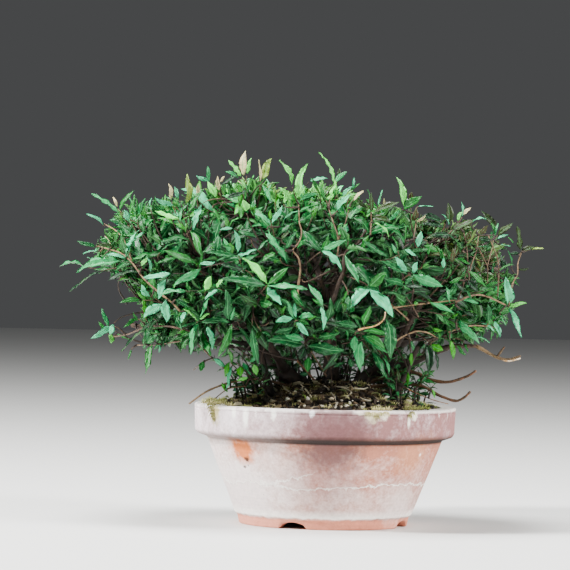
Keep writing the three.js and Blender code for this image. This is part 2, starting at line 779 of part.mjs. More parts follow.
// The origin is under the middle of the whole, on the surface that the foot stands on
const middle = new THREE.Box3().setFromObject(model).getCenter(new THREE.Vector3());
model.position.set(-middle.x, -middle.y, 0).divideScalar(GRID).round().multiplyScalar(GRID);

export default model;
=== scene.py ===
"""An Asiatic jasmine grown as a small bonsai in a terracotta training pot.

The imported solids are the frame. Over them this script makes the turned pot with its lime bloom, the soil
with its grains, moss and litter, the stems and runners, and more than nine hundred leafy shoots.

Shapes are worked out in millimetres about the pot's own axis, with the foot at z = 0, the viewer on the -Y
side and +X to the viewer's right, and are moved to the frame's place when they become meshes.
"""

import math
from functools import partial

import bpy
import numpy as np
from mathutils import Euler, Matrix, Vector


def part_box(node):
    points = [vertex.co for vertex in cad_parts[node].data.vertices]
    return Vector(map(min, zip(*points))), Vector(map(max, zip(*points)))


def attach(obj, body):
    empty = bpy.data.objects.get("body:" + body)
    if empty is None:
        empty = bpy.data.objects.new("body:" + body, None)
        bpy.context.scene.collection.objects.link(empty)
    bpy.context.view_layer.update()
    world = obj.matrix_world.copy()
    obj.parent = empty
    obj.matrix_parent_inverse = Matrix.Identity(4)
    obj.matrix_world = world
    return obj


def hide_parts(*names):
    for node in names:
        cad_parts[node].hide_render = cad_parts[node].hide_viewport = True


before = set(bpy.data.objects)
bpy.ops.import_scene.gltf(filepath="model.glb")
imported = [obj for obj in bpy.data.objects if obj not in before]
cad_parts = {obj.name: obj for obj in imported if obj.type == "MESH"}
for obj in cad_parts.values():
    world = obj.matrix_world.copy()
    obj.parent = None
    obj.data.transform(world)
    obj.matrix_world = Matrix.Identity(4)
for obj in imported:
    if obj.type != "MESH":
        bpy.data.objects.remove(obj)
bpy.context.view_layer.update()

bl_info = {
    "name": "Asiatic jasmine bonsai",
    "version": (1, 0, 0),
    "blender": (4, 5, 0),
    "location": "3D Viewport > Sidebar > Jasmine",
    "description": "A small-leaved jasmine in a terracotta pot, with soil, moss and runners",
    "category": "Add Mesh",
}

MM = 0.001
POT_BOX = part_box("pot")
# The pot's axis at the foot, in millimetres of the frame
POT_FOOT = np.array([(POT_BOX[0].x + POT_BOX[1].x) / 2 / MM, (POT_BOX[0].y + POT_BOX[1].y) / 2 / MM, 0.0])
SPRAY_NODES = sorted(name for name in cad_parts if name.startswith("spray_"))
UP = np.array([0.0, 0.0, 1.0])
GOLDEN_ANGLE = math.pi * (3 - math.sqrt(5))

# Profile of the pot: radius, height and rounding of each corner, from the drain hole outwards and up
POT_PROFILE = [
    (13, 4.6, 0.6), (48.5, 4.6, 0.8), (49.5, 0, 0.8), (57.8, 0, 0.9), (59, 6, 0.9), (61, 7.8, 0.9),
    (80.6, 58.2, 1.2), (81.4, 59.4, 0.7), (87.7, 61.6, 0.8), (89.3, 63.6, 1.2), (89.8, 78.6, 0.1),
    (89.35, 78.9, 0.1), (89.4, 79.3, 0.1), (89.9, 79.6, 0.2), (90, 81, 0.8), (88.6, 82, 1.2), (79.2, 82, 1.4),
    (77.8, 80.6, 1.2), (73, 58.8, 3), (53, 12, 3), (13, 12, 0.6),
]
NOTCHES = {"count": 4, "first": -21.5, "half_width": 9.7, "height": 4.6}
# Tide lines of lime round the belly: height at the front, climb to the right, and where they begin and end,
# in metres. The lower one goes all round, and the upper one branches off at the left of the front and climbs.
TIDE_LINES = ((0.0284, 0.0, -0.2, 0.2), (0.0427, 0.36, -0.046, -0.004))
# Stains, drips and crusts on the pot: place, radius, how much taller than wide, strength and colour
STAINS = (
    # The first three are dark patches at the front middle: partly stains, partly painted shade under the band
    ((4, -84, 60), 28.0, 1.0, 0.86, "5f3d39"),
    ((4, -90, 74), 30.0, 0.6, 0.62, "7a5456"),
    ((0, -72, 38), 30.0, 1.0, 0.34, "8d6767"),
    ((62, -53, 50), 20.0, 1.0, 0.45, "c98a62"),
    ((52, -40, 16), 20.0, 0.8, 0.60, "efe0da"),
    ((-56, -55, 53), 14.0, 0.9, 0.95, "c96b2b"),
    ((-53, -55, 46.5), 2.4, 0.8, 0.9, "33261f"),
    ((-54.2, -50.4, 41), 1.8, 0.8, 0.9, "33261f"),
    ((-51.0, -53, 42.5), 1.3, 0.8, 0.85, "33261f"),
    ((64.4, -44.1, 51.3), 1.5, 1.2, 0.9, "ffffff"),
    ((-75, -49.5, 78), 6.0, 1.6, 0.75, "c9bb6c"),
    ((-54.2, -72, 76), 2.8, 3.6, 0.95, "fffdf4"),
    ((-62, -65.3, 79), 2.6, 2.2, 0.9, "fffdf4"),
    ((-35.4, -82.7, 79), 2.4, 2.4, 0.95, "fffdf4"),
    ((30, -84.8, 78.5), 5.0, 1.0, 0.9, "f6ecc8"),
    ((38, -81.5, 79), 4.5, 0.9, 0.9, "fff8e2"),
    ((59, -68, 79), 3.2, 1.2, 0.9, "fffbe8"),
    ((55.5, -70.8, 75), 1.6, 3.4, 0.85, "fffbe8"),
    ((22, -87.3, 80.5), 3.0, 0.6, 0.8, "f6ecd8"),
    ((-10, -89.4, 79.8), 2.2, 1.6, 0.8, "ffffff"),
    ((52, 62, 50), 9.0, 1.0, 0.7, "c98450"),
)
SMALL_STAIN = 6.0

# The soil: its height at the pot's wall and on its mound, the radius of the mound's flat top, the radius at
# which its fall ends, its own radius, and the radius that whatever lies on it keeps inside
SOIL = {"edge": 80.0, "mound": 97.0, "mound_radius": 16.0, "rim": 78.0, "radius": 77.0, "strewn": 75.5}
# On the soil, as seen from the front: bits of pumice with their radius, pale straws, dead leaves from foot to
# tip, and tufts of moss with their radius and dryness
PUMICE_SEEN = np.array([
    (8.8, -89.4, 2), (11.7, -95.6, 1.6), (17.9, -94, 2.1), (22.7, -91.9, 1.7), (26.1, -89.7, 1.3),
    (27, -98.7, 1.8), (32.5, -97.9, 1.2), (40.7, -94.9, 1.2), (4.1, -93, 1.1), (-0.1, -88.2, 1),
    (15.3, -98.9, 1.3), (44.2, -98.3, 1.5), (48.3, -94.8, 1), (-4.8, -95.9, 1.1), (-13.8, -94.1, 1),
    (19.8, -86.4, 1), (55.9, -96, 1.2), (79.3, -95.5, 1.1), (35.1, -90.9, 1), (-28.9, -95.8, 1.2),
], float)
STRAWS_SEEN = (
    ((37.7, -85.3), (46.7, -86.5), (55, -87), (61.1, -84.8), (62.6, -86.9)),
    ((36.3, -85.4), (42.6, -86.6), (47.4, -89.3), (43.4, -93.5)), ((12.2, -84.5), (16.4, -88.6), (20, -93.3)),
    ((50.9, -91.9), (57.9, -94.6), (66.2, -95.1)), ((-0.9, -83.4), (1.9, -88.2), (6.8, -91.5)),
    ((-34.5, -92.4), (-25.6, -90.2), (-18, -92.1)), ((70.2, -87.4), (78.5, -89.3), (87.5, -92.5)),
    ((24.6, -83.6), (30.1, -86.2), (35.8, -93)),
)
DEAD_LEAVES_SEEN = np.array([
    (-20.2, -83.9, -7.7, -88.4), (-34.1, -79.3, -24.4, -81.9), (-44.4, -81.6, -38.2, -82.2),
    (39.9, -92.9, 46.2, -95.5), (-41.5, -89.8, -31.7, -93.1), (59.9, -90.4, 67.5, -91.6),
    (4.6, -82.6, 10.1, -85.9),
], float)
MOSS_SEEN = np.array([
    (-53.1, -95.6, 4, 0.8), (-47.6, -94.1, 4, 0.6), (-41.4, -92.6, 3.5, 0.5), (-50.3, -97.6, 3, 0.9),
    (-29.1, -88.2, 2.5, 0.2), (-11.1, -90.5, 2.5, 0.15), (-35.8, -95.9, 2.5, 0.5), (52.1, -80.9, 4, 0.7),
    (56.3, -83.6, 3, 0.6), (64.6, -86.8, 3, 0.8), (72.9, -86.6, 4.5, 0.35), (67.5, -93, 4, 0.85),
    (74.5, -96.3, 4, 0.7), (83.3, -91.2, 4.5, 0.3), (84.8, -95.3, 3.5, 0.5), (93.1, -95.2, 4, 0.6),
    (97.8, -92.3, 3, 0.3), (104.1, -94.9, 3.5, 0.15), (43.3, -90.7, 2.5, 0.7), (17.7, -82.3, 2.5, 0.3),
    (30.7, -80, 2.5, 0.4), (-20.7, -94.2, 2.5, 0.3),
], float)

# Tufts of moss on the rim and hanging over it: place, radius and dryness
MOSS_ON_RIM = (
    (-80, -30, 82.5, 4.4, 0.8), (-76, -38, 82.5, 4.0, 0.8), (-81, -22, 82, 3.0, 0.9),
    (-70, -47, 82.5, 3.8, 0.6), (-78, -34, 84.5, 2.8, 0.6), (-64, -54, 82, 2.6, 0.9), (-72, -40, 84, 3, 0.3),
    (34, -77, 82, 3.4, 0.9), (40, -75, 82, 3.0, 1.0), (56, -63, 82, 3.6, 0.4), (66, -52, 82, 3.2, 0.1),
    (62, -58, 82, 2.4, 0.3),
)
MOSS_HANGING = (
    (-77.6, -45.0, 82.5, 3.0, 0.5), (-77.2, -46.2, 80.5, 2.8, 0.7), (-76.8, -47.0, 78.5, 2.5, 0.8),
    (-76.4, -47.6, 76.5, 2.1, 0.8), (-76.0, -48.2, 74.7, 1.7, 0.8), (-75.6, -48.8, 73.0, 1.2, 0.7),
    (27, -85.5, 81, 1.8, 0.9), (31, -84.2, 80.5, 2.4, 1.0), (35, -82.6, 80.5, 2.6, 1.0),
    (39, -80.8, 81, 2.2, 1.0), (33, -83.6, 78.4, 1.8, 0.9), (57, -69.2, 81, 2.2, 0.6),
    (55.6, -70.4, 79, 1.4, 0.8),
)

# The crown's surface, the same as the solids': a broad dome, flatter below. It is a superellipsoid with one
# exponent in plan and two in profile, above and below, and its top leans.
CENTRE = np.array([-19.0, -2.0, 158.0])
REACH = np.array([151.0, 104.0, 83.0])
REACH_DOWN = 50.0
PLAN_POWER, RISING_POWER, FALLING_POWER, LEAN = 2.3, 2.8, 2.2, -0.06
# The photo's camera stood this far before the pot's axis, level with EYE. The tables named *_SEEN were
# measured from there: millimetres to the right of EYE and above it, as they look in the plane of the axis.
EYE_DISTANCE = 2250.0
EYE = (-29.6, 179.0)
# The camera's lens and film in millimetres, and its pitch and roll in degrees
LENS, FILM, PITCH, ROLL = 206.2, 36.0, -0.386, 1.25
# Lights: place and size in metres, and share of the power that is set
LIGHTS = {
    "key_light": ((-1.6, -0.62, 1.4), 0.34, 1.3),
    "fill_light": ((1.6, -0.5, 0.95), 0.6, 0.62),
    "top_light": ((-0.2, -0.1, 1.7), 0.7, 0.55),
}

# Stems: radii at the two ends, and points
STEMS = {
    "main": ((7, 2.2), ((3, 2, 80), (4, 3, 112), (0, 1, 146), (8, 4, 172), (14, 2, 196), (12, 0, 210))),
    "left": ((6.2, 1.8), (
        (-2, 0, 84), (-27, -3, 103), (-45, -4, 120), (-68, -2, 142), (-94, 2, 160), (-118, 0, 175),
        (-138, -4, 182),
    )),
    "left_low": ((3.8, 1.5), ((-45, -4, 120), (-75, -14, 124), (-106, -16, 130), (-134, -10, 134))),
    "left_high": ((3.6, 1.6), ((-68, -2, 142), (-84, 6, 170), (-102, 8, 194), (-112, 4, 208))),
    "crown_left": ((4, 1.6), ((0, 1, 146), (-20, -8, 168), (-40, -12, 192), (-50, -8, 210))),
    "back": ((4.5, 1.8), ((4, 3, 118), (2, 24, 140), (-4, 46, 164), (-12, 60, 190))),
    "right": ((6.2, 1.8), (
        (7, 2, 84), (32, 2, 104), (54, 0, 128), (78, 4, 150), (100, 4, 168), (116, 2, 178),
    )),
    "right_low": ((3.8, 1.4), ((32, 2, 104), (60, -10, 114), (84, -16, 124), (102, -18, 125))),
    "right_high": ((3.8, 1.6), ((54, 0, 128), (60, 8, 160), (70, 10, 184), (80, 6, 198))),
    "front": ((3.8, 1.6), ((4, 3, 112), (6, -22, 128), (0, -46, 146), (-6, -62, 168))),
    "front_right": ((3.6, 1.5), ((32, 2, 104), (44, -26, 122), (56, -50, 142), (66, -60, 162))),
    "front_left": ((3.6, 1.5), ((-27, -3, 103), (-38, -30, 122), (-52, -52, 144), (-64, -60, 166))),
    "back_left": ((3.8, 1.5), ((-45, -4, 120), (-58, 26, 142), (-76, 48, 164), (-92, 56, 182))),
    "back_right": ((3.8, 1.5), ((54, 0, 128), (54, 28, 146), (62, 50, 164), (74, 58, 182))),
}
# Bare runners and dead sticks: radii, shades of bark and points. The first five are in the solids, and the
# others are too slight for them.
RUNNERS = {
    "long": ((1.4, 0.8), (0.52, 0.62), (
        (102, -18, 125), (116, -20, 118), (124, -21, 116.4), (132, -22, 119),
    )),
    "long_stub": ((0.9, 0.6), (0.6, 0.66), ((116, -20, 118), (121, -22, 125))),
    "middle": ((1.7, 0.9), (0.62, 0.72), (
        (18, 2, 94), (54, -6, 106), (72, -10, 101), (84, -14, 100), (96, -16, 104), (102, -18, 108),
    )),
    "low": ((1.7, 0.9), (0.64, 0.68), (
        (8, -2, 92), (58, -18, 98), (78, -24, 90.6), (88, -26, 87.6), (94, -27, 90), (98, -28, 94),
    )),
    "rim_left": ((1.1, 0.6), (0.3, 0.46), (
        (-6, -2, 90), (-44, -22, 99), (-63, -32, 97.5), (-75.7, -38, 93.4), (-84, -41, 89),
        (-92.6, -44, 82.5),
    )),
    # These two are near black: partly old bark, partly painted shade of the crown over them
    "base_dark": ((3.0, 2.0), (0.05, 0.1), ((-36, -24, 86), (-42, -22, 104), (-48, -18, 126))),
    "base_dark_right": ((2.6, 1.6), (0.08, 0.14), ((44, -20, 84), (52, -22, 100), (62, -20, 124))),
    "long_tip": ((0.8, 0.55), (0.86, 0.98), ((118, -20, 117.3), (124, -21, 115.6), (132, -22, 117.5))),
}

# Shoots that stand out in the outline or on the front: tip and the way it points
MARKED = np.array([
    (-180, -6, 170, -1, 0, 0.1), (-154, -14, 131, -1, -0.2, -0.1), (-121, -28, 112, -0.5, -0.3, -0.6),
    (-152, 0, 216, -0.7, 0, 0.7), (-62, -4, 248, 0.1, 0, 1), (-8, 2, 249, -0.15, 0, 1),
    (50, 4, 232, 0.05, 0, 1), (141, 2, 191, 0.9, 0, 0.25), (130, -8, 142, 0.7, -0.1, -0.5),
    (-40, -92, 158, 0, -1, 0.1), (-21, -86, 137, 0.1, -1, 0.35), (-12, -82, 117, 0, -0.9, 0.5),
    (31, -88, 152, 0.1, -1, -0.1), (25, -80, 126, 0.2, -0.8, -0.6), (-108, -62, 142, -0.3, -1, 0.1),
    (-66, -34, 108, -0.5, -0.5, -0.3), (62, -32, 110, 0.4, -0.5, -0.3),
], float)
# Leaves on the front and along the outline, by their tone: foot, tip and the width they show
LEAVES_SEEN = {
    "lime": (
        (-49, 44, -55, 55, 5), (-32, 59, -41, 70, 5), (-29, 51, -32, 57, 3), (-74, 29, -91, 34, 5),
        (3, 54, -6, 71, 4), (7, 44, 14, 69, 6), (34, 50, 21, 77, 3), (4, 44, -6, 52, 3), (30, 46, 34, 55, 3),
        (81, 40, 75, 61, 3), (118, 32, 121, 38, 3), (-99, -4, -95, 2, 3), (-47, -18, -42, -11, 3),
        (-12, -15, -30, 3, 4), (61, 29, 71, 19, 2), (154, -26, 167, -24, 3), (-119, -52, -119, -58, 6),
        (-60, -41, -70, -33, 2), (-58, -40, -51, -36, 2), (-20, -70, -18, -78, 5), (-24, -80, -32, -82, 3),
        (-28, 61, -25, 72, 3), (-28, 35, -30, 43, 6), (-2, 41, 1, 50, 3), (-55, -20, -51, -10, 6),
    ),
    "pink": (
        (-117, 36, -120, 43, 2), (-80, 42, -82, 53, 3), (-62, 46, -61, 53, 3), (-47, 49, -48, 59, 3),
        (-46, 55, -43, 59, 2), (-30, 59, -29, 77, 6), (-19, 55, -20, 71, 3), (46, 44, 53, 51, 3),
        (67, 41, 67, 46, 2), (90, 30, 96, 35, 2), (122, 36, 127, 41, 3), (-121, 10, -125, 16, 1),
    ),
    "fresh": (
        (-128, 5, -129, -5, 3), (-115, 33, -105, 48, 3), (-108, 30, -105, 45, 2), (-103, 29, -104, 43, 2),
        (-51, 36, -46, 26, 2), (-68, 33, -57, 49, 4), (20, 51, 16, 59, 2), (27, 44, 22, 54, 3),
        (44, 51, 50, 56, 2), (81, 38, 93, 48, 7), (55, 45, 63, 37, 3), (-117, 13, -116, 20, 3),
        (-125, 3, -127, -3, 3), (-61, -2, -84, 7, 4), (-7, 7, -16, 1, 6), (-12, -15, 2, -3, 6),
        (105, 10, 95, 14, 5), (98, 8, 101, 16, 3), (77, 11, 73, 20, 1), (82, 18, 81, 29, 2),
        (58, -15, 70, -5, 8), (113, -11, 122, -7, 3), (110, 2, 107, 12, 2), (153, 21, 157, 17, 1),
        (144, 22, 141, 31, 3), (127, 2, 116, 5, 3), (138, -13, 147, -10, 3), (138, -19, 147, -17, 3),
        (-123, -50, -128, -43, 3), (-101, -41, -111, -47, 3), (-101, -42, -104, -36, 2),
        (-105, -62, -107, -69, 2), (-90, -57, -95, -79, 4), (-115, -52, -105, -56, 3),
        (-36, -43, -45, -66, 6), (-55, -69, -57, -76, 5), (10, -39, 17, -42, 4), (17, -64, 17, -75, 6),
        (26, -28, 19, -24, 3), (55, -42, 59, -28, 6), (55, -46, 73, -47, 4), (56, -49, 70, -58, 6),
        (125, -53, 127, -59, 3), (119, -54, 126, -61, 3), (141, -40, 141, -34, 6), (-66, 20, -57, 2, 6),
        (-99, -28, -114, -30, 3), (126, -3, 139, -14, 3), (147, -2, 158, 2, 2), (109, 3, 103, 14, 3),
    ),
    "painted_sheen": (
        (-109, 27, -112, 34, 5), (-126, 23, -138, 31, 3), (-94, 37, -93, 43, 1), (-78, 38, -91, 43, 4),
        (-75, 43, -78, 51, 3), (-54, 55, -63, 59, 3), (-59, 39, -64, 21, 6), (16, 57, 28, 59, 2),
        (45, 52, 46, 60, 2), (35, 37, 44, 49, 6), (-10, 27, -3, 40, 3), (63, 41, 66, 52, 1),
        (91, 41, 101, 41, 1), (112, 29, 107, 36, 1), (121, 35, 120, 45, 2), (128, 31, 138, 33, 1),
        (-130, 5, -140, 3, 1), (-131, -1, -137, 1, 1), (-110, 1, -124, 3, 3), (-110, 1, -98, 19, 3),
        (-93, -8, -96, 2, 2), (-79, -9, -98, -12, 6), (-93, -25, -100, -21, 3), (-33, 6, -36, 22, 3),
        (-59, -2, -48, 0, 3), (-46, -19, -55, -27, 3), (-82, -13, -87, -27, 6), (-37, 23, -46, 22, 2),
        (25, 9, 39, -4, 6), (30, 5, 37, 1, 4), (-12, -17, -2, -29, 7), (84, -4, 75, 6, 5), (88, -5, 91, 3, 4),
        (91, 13, 93, 24, 5), (82, 11, 90, 7, 3), (59, -17, 43, -31, 8), (58, -17, 75, -36, 9),
        (109, -1, 109, 6, 3), (146, 20, 153, 23, 3), (148, 16, 155, 15, 1), (154, -28, 164, -48, 5),
        (-118, -47, -133, -55, 5), (-118, -45, -120, -52, 5), (-84, -30, -97, -40, 7),
        (-53, -45, -49, -61, 6), (-82, -27, -81, -43, 7), (-68, -35, -71, -43, 4), (-48, -67, -39, -72, 4),
        (-86, -58, -86, -64, 1), (8, -37, 7, -27, 3), (6, -38, -6, -41, 5), (8, -41, 17, -50, 5),
        (25, -30, 27, -46, 5), (145, -37, 149, -48, 4), (140, -40, 145, -44, 2), (133, -48, 142, -52, 1),
        (-35, -72, -37, -86, 3), (-37, -81, -39, -88, 2), (-108, 4, -101, 21, 3), (38, 47, 45, 54, 3),
        (-33, 5, -20, 9, 4), (154, -26, 152, -6, 8), (-96, -25, -99, -17, 4),
    ),
    "grown": (
        (-57, 27, -50, 18, 3), (84, -6, 64, 3, 3), (-60, -43, -71, -46, 3), (44, -22, 44, -32, 5),
        (-101, 32, -97, 43, 3), (57, 45, 55, 52, 1), (-131, 8, -144, 12, 2), (-47, 18, -48, 4, 7),
        (-33, 4, -55, 6, 3), (-48, 0, -31, 2, 2), (-86, 6, -67, 13, 3), (-13, -16, -45, -12, 7),
        (-38, -40, -41, -19, 8), (-33, 21, -20, 17, 3), (-11, 16, -20, 8, 3), (70, 6, 53, 17, 3),
        (82, -14, 68, -9, 6), (60, -18, 70, -24, 5), (156, 2, 153, 12, 1), (131, 14, 141, 13, 2),
        (123, -16, 129, -22, 3), (-57, -42, -37, -42, 6), (-22, -45, -17, -71, 6), (-75, -27, -65, -32, 4),
        (6, -44, -6, -48, 5), (14, -56, -12, -54, 10), (17, -57, 42, -59, 10), (35, -71, 43, -68, 3),
        (46, -65, 47, -71, 5), (-15, -48, -9, -51, 3), (51, -43, 35, -40, 6), (88, -52, 89, -59, 3),
        (141, -38, 140, -25, 5), (0, 10, 8, 22, 4), (24, 9, 11, 23, 6), (70, -37, 74, -65, 10),
        (60, -60, 72, -78, 7), (83, -13, 89, -6, 3), (-23, -58, -33, -44, 3),
    ),
    "cream": (
        (-69, 40, -69, 60, 6), (-17, 57, -11, 72, 6), (169, 13, 178, 14, 2),
    ),
    "dark": (
        (-42, 43, -28, 49, 3), (-129, -9, -149, -23, 3), (-113, -11, -104, -6, 3), (90, -18, 102, -23, 3),
        (117, -11, 124, -18, 3), (-101, -9, -122, -15, 4), (-90, -41, -112, -64, 4), (-45, 53, -34, 59, 4),
        (108, 31, 92, 34, 6), (-29, -5, -45, -2, 6), (83, -14, 96, -16, 4), (161, 10, 154, 10, 3),
        (142, 19, 132, 19, 4), (126, -9, 133, -17, 6), (150, 1, 148, 9, 3), (15, -58, 11, -66, 7),
        (-10, -32, -3, -38, 6), (123, -30, 131, -34, 3), (98, -54, 100, -74, 8), (104, -58, 106, -72, 3),
        (-15, -70, -13, -77, 4), (108, 27, 93, 29, 5), (113, 22, 100, 21, 6), (148, 6, 153, -2, 5),
        (97, 17, 90, 14, 5),
    ),
    "olive": (
        (-3, 16, 2, 22, 3), (80, -81, 78, -71, 3), (48, 45, 56, 39, 3), (145, 27, 134, 39, 5),
        (35, 59, 36, 66, 3), (58, 36, 58, 50, 4), (60, 36, 78, 44, 6), (112, 29, 111, 44, 6),
        (-119, 9, -131, 11, 3), (162, 12, 159, 29, 6), (162, 11, 171, 15, 5), (161, -1, 168, 0, 2),
        (146, 22, 156, 31, 5), (93, -83, 96, -79, 3), (59, 34, 72, 30, 5), (114, 26, 129, 32, 8),
        (119, -7, 124, 0, 5),
    ),
    "bright": (
        (-116, 32, -135, 45, 4), (-34, 58, -43, 62, 3), (-54, 55, -55, 66, 3), (-73, 27, -72, 36, 3),
        (78, 38, 70, 31, 3), (111, -14, 114, -25, 3), (33, 56, 41, 64, 4), (9, 43, 22, 48, 3),
        (-17, 53, -11, 42, 4), (-112, -1, -144, -10, 6), (-68, -21, -87, -25, 4), (-138, -6, -156, -6, 3),
        (-58, -5, -77, -18, 6), (-12, 22, 1, 0, 6), (-14, 20, -5, 9, 5), (25, 10, 42, 17, 5),
        (41, 6, 51, -13, 6), (-12, -16, 16, -18, 6), (26, -29, 16, -14, 6), (88, -6, 109, -14, 8),
        (76, 8, 73, 15, 3), (144, 22, 146, 31, 3), (149, -33, 153, -40, 1), (-121, -47, -126, -34, 2),
        (-58, -39, -49, -22, 4), (-59, -43, -64, -65, 6), (-37, -40, -34, -31, 3), (7, -38, 1, -26, 3),
        (10, -37, 21, -37, 5), (49, -49, 49, -60, 6), (54, -53, 53, -73, 8), (68, -63, 73, -76, 2),
        (100, -25, 117, -32, 3), (120, -37, 135, -53, 6), (123, -23, 134, -25, 3), (14, -53, 0, -50, 6),
        (-28, -69, -22, -78, 4), (-23, -69, -18, -64, 3),
    ),
    "vivid": (
        (-96, -40, -97, -26, 5), (88, -60, 88, -69, 3), (102, -54, 110, -58, 6), (115, -51, 117, -64, 4),
        (-37, -69, -40, -80, 4), (-30, -72, -29, -79, 6), (-42, -84, -38, -90, 4), (86, -73, 86, -84, 2),
        (103, -85, 105, -91, 2),
    ),
    "bronze": (
        (133, 23, 139, 29, 4), (124, 18, 128, 25, 4), (104, 9, 97, 14, 3), (86, 44, 86, 51, 4),
        (88, 31, 89, 40, 5), (115, 3, 115, 13, 4),
    ),
}
# Stems to be seen between the leaves: radius at the foot and tip, shade of bark, depth behind the crown's
# front, and points
STEMS_SEEN = {
    "left_diagonal": (1.0, 0.6, 0.56, 7, (
        (-71.6, -35.3), (-77.3, -29.3), (-87.1, -21.9), (-98.3, -11.8), (-106.1, -1.6), (-113.8, 4.4),
        (-129.8, 8.9),
    )),
    "left_upper": (0.7, 0.45, 0.54, 6, ((-106.2, -0.2), (-109.8, 9.3), (-116.2, 18.8), (-125.3, 24.2))),
    "left_mid": (0.9, 0.6, 0.4, 10, ((-37.6, -76), (-48.9, -66.6), (-58, -58.5), (-71.3, -47.7))),
    "left_fork": (0.6, 0.4, 0.4, 8, ((-48.9, -66.6), (-55, -69.4), (-61.8, -75.1))),
    "left_low": (0.9, 0.6, 0.4, 7, (
        (-57.5, -50.2), (-76.9, -45.8), (-88.6, -45.4), (-96.9, -46.9), (-107.1, -51.3), (-118.1, -53.6),
    )),
    "left_low_tan": (0.7, 0.5, 0.45, 8, ((-71.2, -55.3), (-88.3, -58.5), (-102.1, -58.8))),
    "top_cream": (1.1, 0.5, 0.5, 10, (
        (8.8, -25.3), (9.3, -13.6), (10.4, -3.2), (8.9, 3.6), (4.6, 9.1), (8.7, 14), (10.6, 21.6), (9, 28.5),
        (8.1, 40.8),
    )),
    "fork_a": (0.8, 0.5, 0.45, 10, ((35.1, 1.5), (36.2, 16.6), (32.5, 28.3), (28.8, 38.5))),
    "fork_b": (0.6, 0.4, 0.45, 10, ((36.2, 16.6), (40.7, 28.5), (42.6, 37.5))),
    "old_trunk": (3.4, 0.9, 0.3, 22, (
        (32.5, -67.5), (32.2, -53.1), (32.5, -35.1), (35.5, -17.8), (40.1, -4), (41.2, 7.8), (50, 16.3),
        (59.3, 30.9),
    )),
    "right_twig_a": (0.8, 0.45, 0.45, 8, ((126.4, -12.4), (127.5, -0.7), (131.4, 11.8), (132.6, 22.2))),
    "right_twig_b": (0.6, 0.4, 0.45, 8, (
        (139.5, -12.1), (139.3, -0.4), (137.8, 3.7), (134.2, 10.5), (129.9, 18.7),
    )),
    "right_twig_c": (0.6, 0.4, 0.45, 8, ((139.2, 1), (141.7, 12.1), (143, 19))),
    "right_twig_d": (0.8, 0.5, 0.45, 6, (
        (146.6, -19.6), (147, -8.5), (146.7, 3.9), (143.1, 13.5), (139.5, 21.7),
    )),
    "right_twig_e": (0.7, 0.4, 0.4, 8, ((126.3, -5.5), (124.4, 15.1), (122.2, 24))),
    "right_twig_f": (0.7, 0.45, 0.4, 8, ((117.8, -26.4), (122.3, -14.6), (124.8, -3.5))),
    "right_top": (0.6, 0.4, 0.5, 6, ((87.8, 17.8), (89, 27.4), (88.8, 35.7))),
    "right_top_b": (0.7, 0.4, 0.5, 6, ((58.1, 20.6), (58.6, 30.9), (57.7, 40.6))),
    "right_tip": (0.8, 0.5, 0.5, 2, (
        (154.3, -26.3), (156.7, -11.1), (160, -4.1), (160.6, 2.8), (162.4, 11.1),
    )),
    "right_end": (1.0, 0.7, 0.5, 5, ((117.7, -24.3), (130.7, -19.2), (140.4, -20.4), (152.2, -25.6))),
    "right_side": (0.8, 0.6, 0.5, 8, ((113.3, -45.1), (127, -40.7), (140.1, -40.4))),
    "right_side_b": (0.7, 0.5, 0.45, 6, ((147.8, -43), (142.2, -40.3), (140.1, -39))),
    "stub_tan": (0.9, 0.8, 0.5, 14, ((71.6, -25.3), (76.5, -29.4), (85.6, -37.4))),
    "stub_grey": (0.8, 0.6, 0.35, 14, ((82.3, -12), (83.2, -20.9), (88.2, -27.7), (92.5, -35.2))),
    "shoot_orange": (0.7, 0.5, 0.58, 11, ((74.4, -29.4), (88.1, -27), (100.5, -25.4), (117.7, -22.9))),
    "arc_pale": (0.8, 0.6, 0.55, 8, (
        (74.9, -54.2), (80.4, -49.9), (87.2, -46.4), (92.7, -44.9), (99.6, -46.1), (105.9, -49.4),
    )),
    "hook_gold": (0.8, 0.6, 0.95, 0, (
        (51.3, -45.1), (56.1, -43.6), (62.3, -42.1), (68.4, -37.8), (69.6, -32.3),
    )),
    "stick_pink": (0.9, 0.7, 0.8, 10, ((21.7, -80.2), (15.4, -73.4), (9, -66.7))),
    "stick_tan": (0.8, 0.6, 0.5, 12, ((29.9, -77.2), (24.2, -68.4), (19.3, -60.9))),
    "stick_thin": (0.6, 0.4, 0.45, 12, ((27.9, -76.6), (31.9, -69.6), (35.8, -62.6))),
    "stick_grey": (0.7, 0.5, 0.35, 12, ((34.4, -90.2), (33.5, -79.9), (32.5, -69.6), (28.9, -62.8))),
    "straw_right": (0.5, 0.4, 0.85, 2, ((83.2, -83.7), (93.6, -88.3), (104, -92.2), (114.4, -94.7))),
    "red_left": (0.7, 0.4, 0.68, 4, ((-25.7, -85.4), (-36, -87), (-40.1, -89.1), (-46.9, -94.8))),
}
# Top and bottom of the mass of leaves, without the tips that stand out of it
OUTLINE_TOP = np.array([
    (-134, 2), (-131, 9), (-124, 17), (-120, 24), (-116, 31), (-111, 37), (-104, 38), (-97, 39), (-90, 40),
    (-84, 41), (-77, 42), (-73, 44), (-67, 47), (-60, 50), (-53, 51), (-46, 51), (-39, 55), (-32, 57),
    (-25, 57), (-18, 54), (-12, 54), (-5, 52), (2, 50), (9, 53), (16, 53), (23, 54), (30, 54), (37, 53),
    (44, 49), (51, 43), (58, 40), (65, 40), (72, 39), (78, 38), (85, 38), (92, 35), (99, 31), (106, 29),
    (113, 29), (120, 32), (127, 31), (134, 30), (141, 27), (148, 20), (153, 14), (158, 3), (162, -10),
], float)
OUTLINE_BOTTOM = np.array([
    (-134, -2), (-131, -5), (-124, -8), (-115, -16), (-102, -19), (-98, -59), (-57, -61), (-47, -66),
    (-16, -69), (43, -69), (77, -68), (81, -61), (108, -55), (129, -50), (149, -43), (154, -35), (159, -22),
    (162, -14),
], float)
